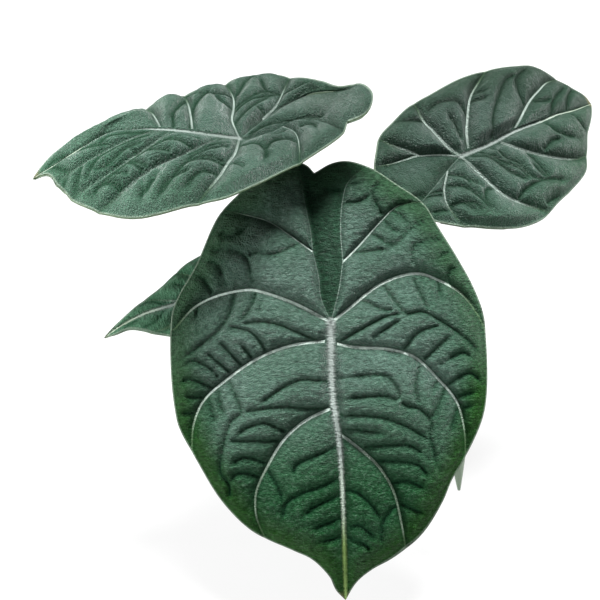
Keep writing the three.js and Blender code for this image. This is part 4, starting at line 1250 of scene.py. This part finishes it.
def leaf_look():
    """The upper face, with fine relief, and the sheen of its hair where it isn't green."""
    s = Shader("leaf upper face")
    names = ("vein", "margin", "rib", "share", "puff", "green", "ripple", "tone", "pale", "rib_pale")
    at = {name: s.value(name) for name in names}
    ripple, green = at["ripple"], at["green"]
    flat = s.place("UV", (UV_SPAN, UV_SPAN, 1))
    grain, stipple = s.noise(flat, 1.6, 3, 0.65), s.noise(flat, 1.1, 4, 0.7)
    dashes = s.noise(s.place("UV", (430, 170, 1)), 1.0, 4, 0.65)
    dashes = ripple * (dashes - stipple) + stipple
    body = leaf_veins(s, at, leaf_ground(s, at, flat, dashes), grain)
    body, rib_mask = leaf_midrib(s, at, body)

    areoles = s.cells(flat, 0.95, "DISTANCE_TO_EDGE")
    ripples = s.noise(s.place("UV", (230, 75, 1)), 1.0, 2, 0.5)
    fine = s.step(areoles, 0.0, 0.22) + dashes * 2.5 + ripples * 4 * ripple
    fine = fine * s.span(rib_mask, 0, 1, 1, 0.3)
    sheen = s.span(ripple, 0.3, 1, 0.44, 0.17) * s.span(green, 0, 1, 1.0, 0.0)
    sheen = sheen * s.math("MINIMUM", at["tone"], 1.1) * s.step(at["margin"], 2, 14, 0.45, 1.0)
    return s.finish(
        body,
        s.uneven(grain, 0.38, 0.52),
        s.bump(fine, 0.8, 0.0007),
        Sheen_Weight=sheen * s.step(at["puff"], 0.25, 0.9),
        Sheen_Roughness=0.35,
        Specular_IOR_Level=s.span(green, 0, 1, 0.3, 0.06),
    )


def leaf_back_look():
    """The underside: paler, with raised veins of a lighter green."""
    s = Shader("leaf underside")
    flat = s.place("UV", (UV_SPAN, UV_SPAN, 1))
    grain = s.noise(flat, 1.2, 3, 0.6)
    body = s.step(s.noise(flat, 0.08, 3), 0.35, 0.65)
    body = s.mix(body, (0.085, 0.150, 0.085), (0.125, 0.195, 0.125))
    body = s.mix(s.step(s.value("puff"), 0.6, 0.1, 0, 0.5), body, (0.15, 0.23, 0.13))
    body = s.mix(s.step(s.value("vein"), 2.2, 0.9), body, (0.24, 0.30, 0.17))
    body = s.mix(s.step(s.value("rib"), 1.3, 0.9), body, (0.27, 0.32, 0.19))
    normal = s.bump(grain + s.cells(flat, 0.8), 0.25, 0.0003)
    return s.finish(body, s.uneven(grain, 0.42, 0.6), normal, Sheen_Weight=0.15)


def leaf_rim_look():
    s = Shader("leaf margin")
    grain = s.noise(s.place(), 0.5, 3)
    body = s.mix(s.step(grain, 0.35, 0.65), (0.06, 0.12, 0.05), (0.14, 0.19, 0.11))
    return s.finish(body, s.uneven(grain, 0.4, 0.55))


def young_look():
    s = Shader("young leaf")
    grain = s.noise(s.place(), 0.7, 4, 0.6)
    body = s.mix(s.step(s.value("grown"), 0.1, 0.9), (0.18, 0.27, 0.15), (0.21, 0.28, 0.20))
    body = s.mix(s.step(s.value("line"), 0.05, 0.2, 0, 0.5), body, (0.34, 0.42, 0.31))
    body = s.mix(s.step(s.value("seam"), 0.03, 0.0), body, (0.24, 0.24, 0.22))
    body = s.mix(s.step(grain, 0.45, 0.7, 0, 0.35), body, (0.13, 0.24, 0.12))
    normal = s.bump(grain, 0.25, 0.0003)
    return s.finish(body, s.uneven(grain, 0.4, 0.55), normal, Sheen_Weight=0.2)


def stalk_look():
    """Pale olive green with faint mottling that thickens to the foot."""
    s = Shader("stalk")
    where = s.place("Object", (1000, 1000, 350))
    grown = s.value("grown")
    blotch, fine = s.noise(where, 0.55, 4, 0.6), s.noise(where, 2.5, 3)
    body = s.mix(s.step(grown, 0.2, 1.0), (0.20, 0.22, 0.11), (0.24, 0.33, 0.15))
    body = s.mix(s.step(grown, 0.22, 0.1), body, (0.34, 0.33, 0.22))
    reach = blotch + s.span(grown, 0.1, 0.9, 0.06, -0.12)
    body = s.mix(s.step(reach, 0.55, 0.66, 0, 0.6), body, (0.10, 0.085, 0.05))
    body = s.mix(s.step(fine, 0.5, 0.7, 0, 0.25), body, (0.34, 0.38, 0.24))
    return s.finish(body, s.uneven(fine, 0.36, 0.55), s.bump(fine + blotch, 0.2, 0.0004))


def soil_look():
    s = Shader("potting mix")
    where = s.place()
    crumb, grain = s.cells(where, 0.9), s.noise(where, 1.8, 5, 0.7)
    body = s.mix(s.step(grain, 0.35, 0.65), (0.016, 0.010, 0.006), (0.060, 0.040, 0.026))
    body = s.mix(s.step(s.noise(where, 0.25, 3), 0.5, 0.7), body, (0.085, 0.055, 0.032))
    body = s.mix(s.step(crumb, 0.16, 0.05), body, (0.12, 0.085, 0.055))
    return s.finish(body, s.uneven(grain, 0.85, 1.0), s.bump(grain + crumb, 0.8, 0.0006))


def chip_look(name, dark, light, roughness):
    s = Shader(name)
    grain = s.noise(s.place(), 1.4, 4, 0.65)
    body = s.mix(s.value("tint"), dark, light)
    body = s.mix(s.step(grain, 0.4, 0.65, 0, 0.6), body, tuple(0.45 * c for c in dark))
    rough = s.uneven(grain, roughness - 0.1, roughness)
    return s.finish(body, rough, s.bump(grain, 0.6, 0.0005))


def pot_look():
    """Matte dark plastic with a fine moulded grain, faint scuffs and a little dust."""
    s = Shader("pot plastic")
    where = s.place()
    grain, dust = s.noise(where, 2.6, 3, 0.6), s.noise(where, 0.06, 4, 0.6)
    scuff = s.noise(s.place("Object", (1000, 1000, 90)), 0.35, 4, 0.6)
    body = s.mix(s.step(dust, 0.4, 0.7), (0.020, 0.021, 0.022), (0.034, 0.034, 0.033))
    body = s.mix(s.step(scuff, 0.6, 0.72, 0, 0.3), body, (0.07, 0.07, 0.068))
    rough = s.uneven(grain, 0.42, 0.56) + dust * 0.1
    return s.finish(body, rough, s.bump(grain, 0.18, 0.0003))


def floor_look():
    s = Shader("floor")
    grain = s.noise(s.place("Object", (60, 60, 60)), 1.0, 4)
    body = s.mix(grain, (0.10, 0.10, 0.10), (0.13, 0.13, 0.13))
    rough = s.uneven(grain, 0.75, 0.9)
    return s.finish(body, rough, Emission_Color=(1.0, 1.0, 1.0), Emission_Strength=0.88)


LOOKS = {
    "leaf": leaf_look(),
    "leaf_back": leaf_back_look(),
    "leaf_rim": leaf_rim_look(),
    "young": young_look(),
    "stalk": stalk_look(),
    "soil": soil_look(),
    "bark": chip_look("bark", (0.055, 0.030, 0.016), (0.16, 0.095, 0.052), 0.9),
    "perlite": chip_look("perlite", (0.42, 0.41, 0.38), (0.72, 0.71, 0.68), 0.95),
    "pot": pot_look(),
    "floor": floor_look(),
}

build_pot()
build_soil()
scatter("bark_bits", 240, (1.2, 3.4), 0.42, LOOKS["bark"], 7)
scatter("perlite_bits", 60, (0.7, 1.5), 0.8, LOOKS["perlite"], 11)

joins = {}
for number, (name, leaf) in enumerate(LEAVES.items()):
    leaf["relief"] = BLADE_RELIEF[name]
    blade, join, normal = build_blade(name, leaf, 100 * (number + 1))
    own(blade, f"leaf_{name}")
    joins[name] = (join, normal)
hang = np.array(ROLL_MIDDLE, float) - ROLL_TOP
joins["young"] = (np.array(ROLL_TOP, float), hang / np.linalg.norm(hang))
build_young_leaf()
for name, stalk in STALKS.items():
    build_stalk(name, stalk, *joins[name])


# Floor, light and camera, in metres and degrees

FLOOR_SIZE = 60
SUN_TURN = (-4, 5, 0)
SUN_WIDTH = 22
LAMP_PLACE = (-0.9, -0.3, 0.4)
LAMP_TARGET = (-0.06, -0.03, 0.14)
CAMERA_PLACE = (-0.0126, -0.5842, 0.4593)
CAMERA_TILT = 60
CAMERA_LENS = 73.44

bpy.ops.mesh.primitive_plane_add(size=FLOOR_SIZE, location=(0, 0.5, 0))
floor = bpy.context.object
floor.name = "floor"
floor.data.materials.append(LOOKS["floor"])


def add_light(name, kind, power, **settings):
    light = bpy.data.lights.new(name, kind)
    light.energy = power
    for key, value in settings.items():
        setattr(light, key, value)
    return add_object(name, light)


sun = add_light("sun", "SUN", 9.0, angle=math.radians(SUN_WIDTH))
sun.rotation_euler = [math.radians(turn) for turn in SUN_TURN]

side = add_light("side", "AREA", 10, shape="DISK", size=0.6)
side.location = LAMP_PLACE
towards = Vector(LAMP_TARGET) - side.location
side.rotation_euler = towards.to_track_quat("-Z", "Y").to_euler()

world = bpy.data.worlds.new("studio")
world.use_nodes = True
sky = world.node_tree.nodes["Background"].inputs
sky["Color"].default_value = (0.95, 0.98, 1.0, 1)
sky["Strength"].default_value = 0.1
bpy.context.scene.world = world
bpy.context.scene.view_settings.view_transform = "Standard"

camera = add_object("camera", bpy.data.cameras.new("camera"))
camera.location = CAMERA_PLACE
camera.rotation_euler = (math.radians(CAMERA_TILT), 0, 0)
camera.data.lens = CAMERA_LENS
camera.data.sensor_width = 36
camera.data.clip_start = 0.01
bpy.context.scene.camera = camera

bpy.context.view_layer.update()
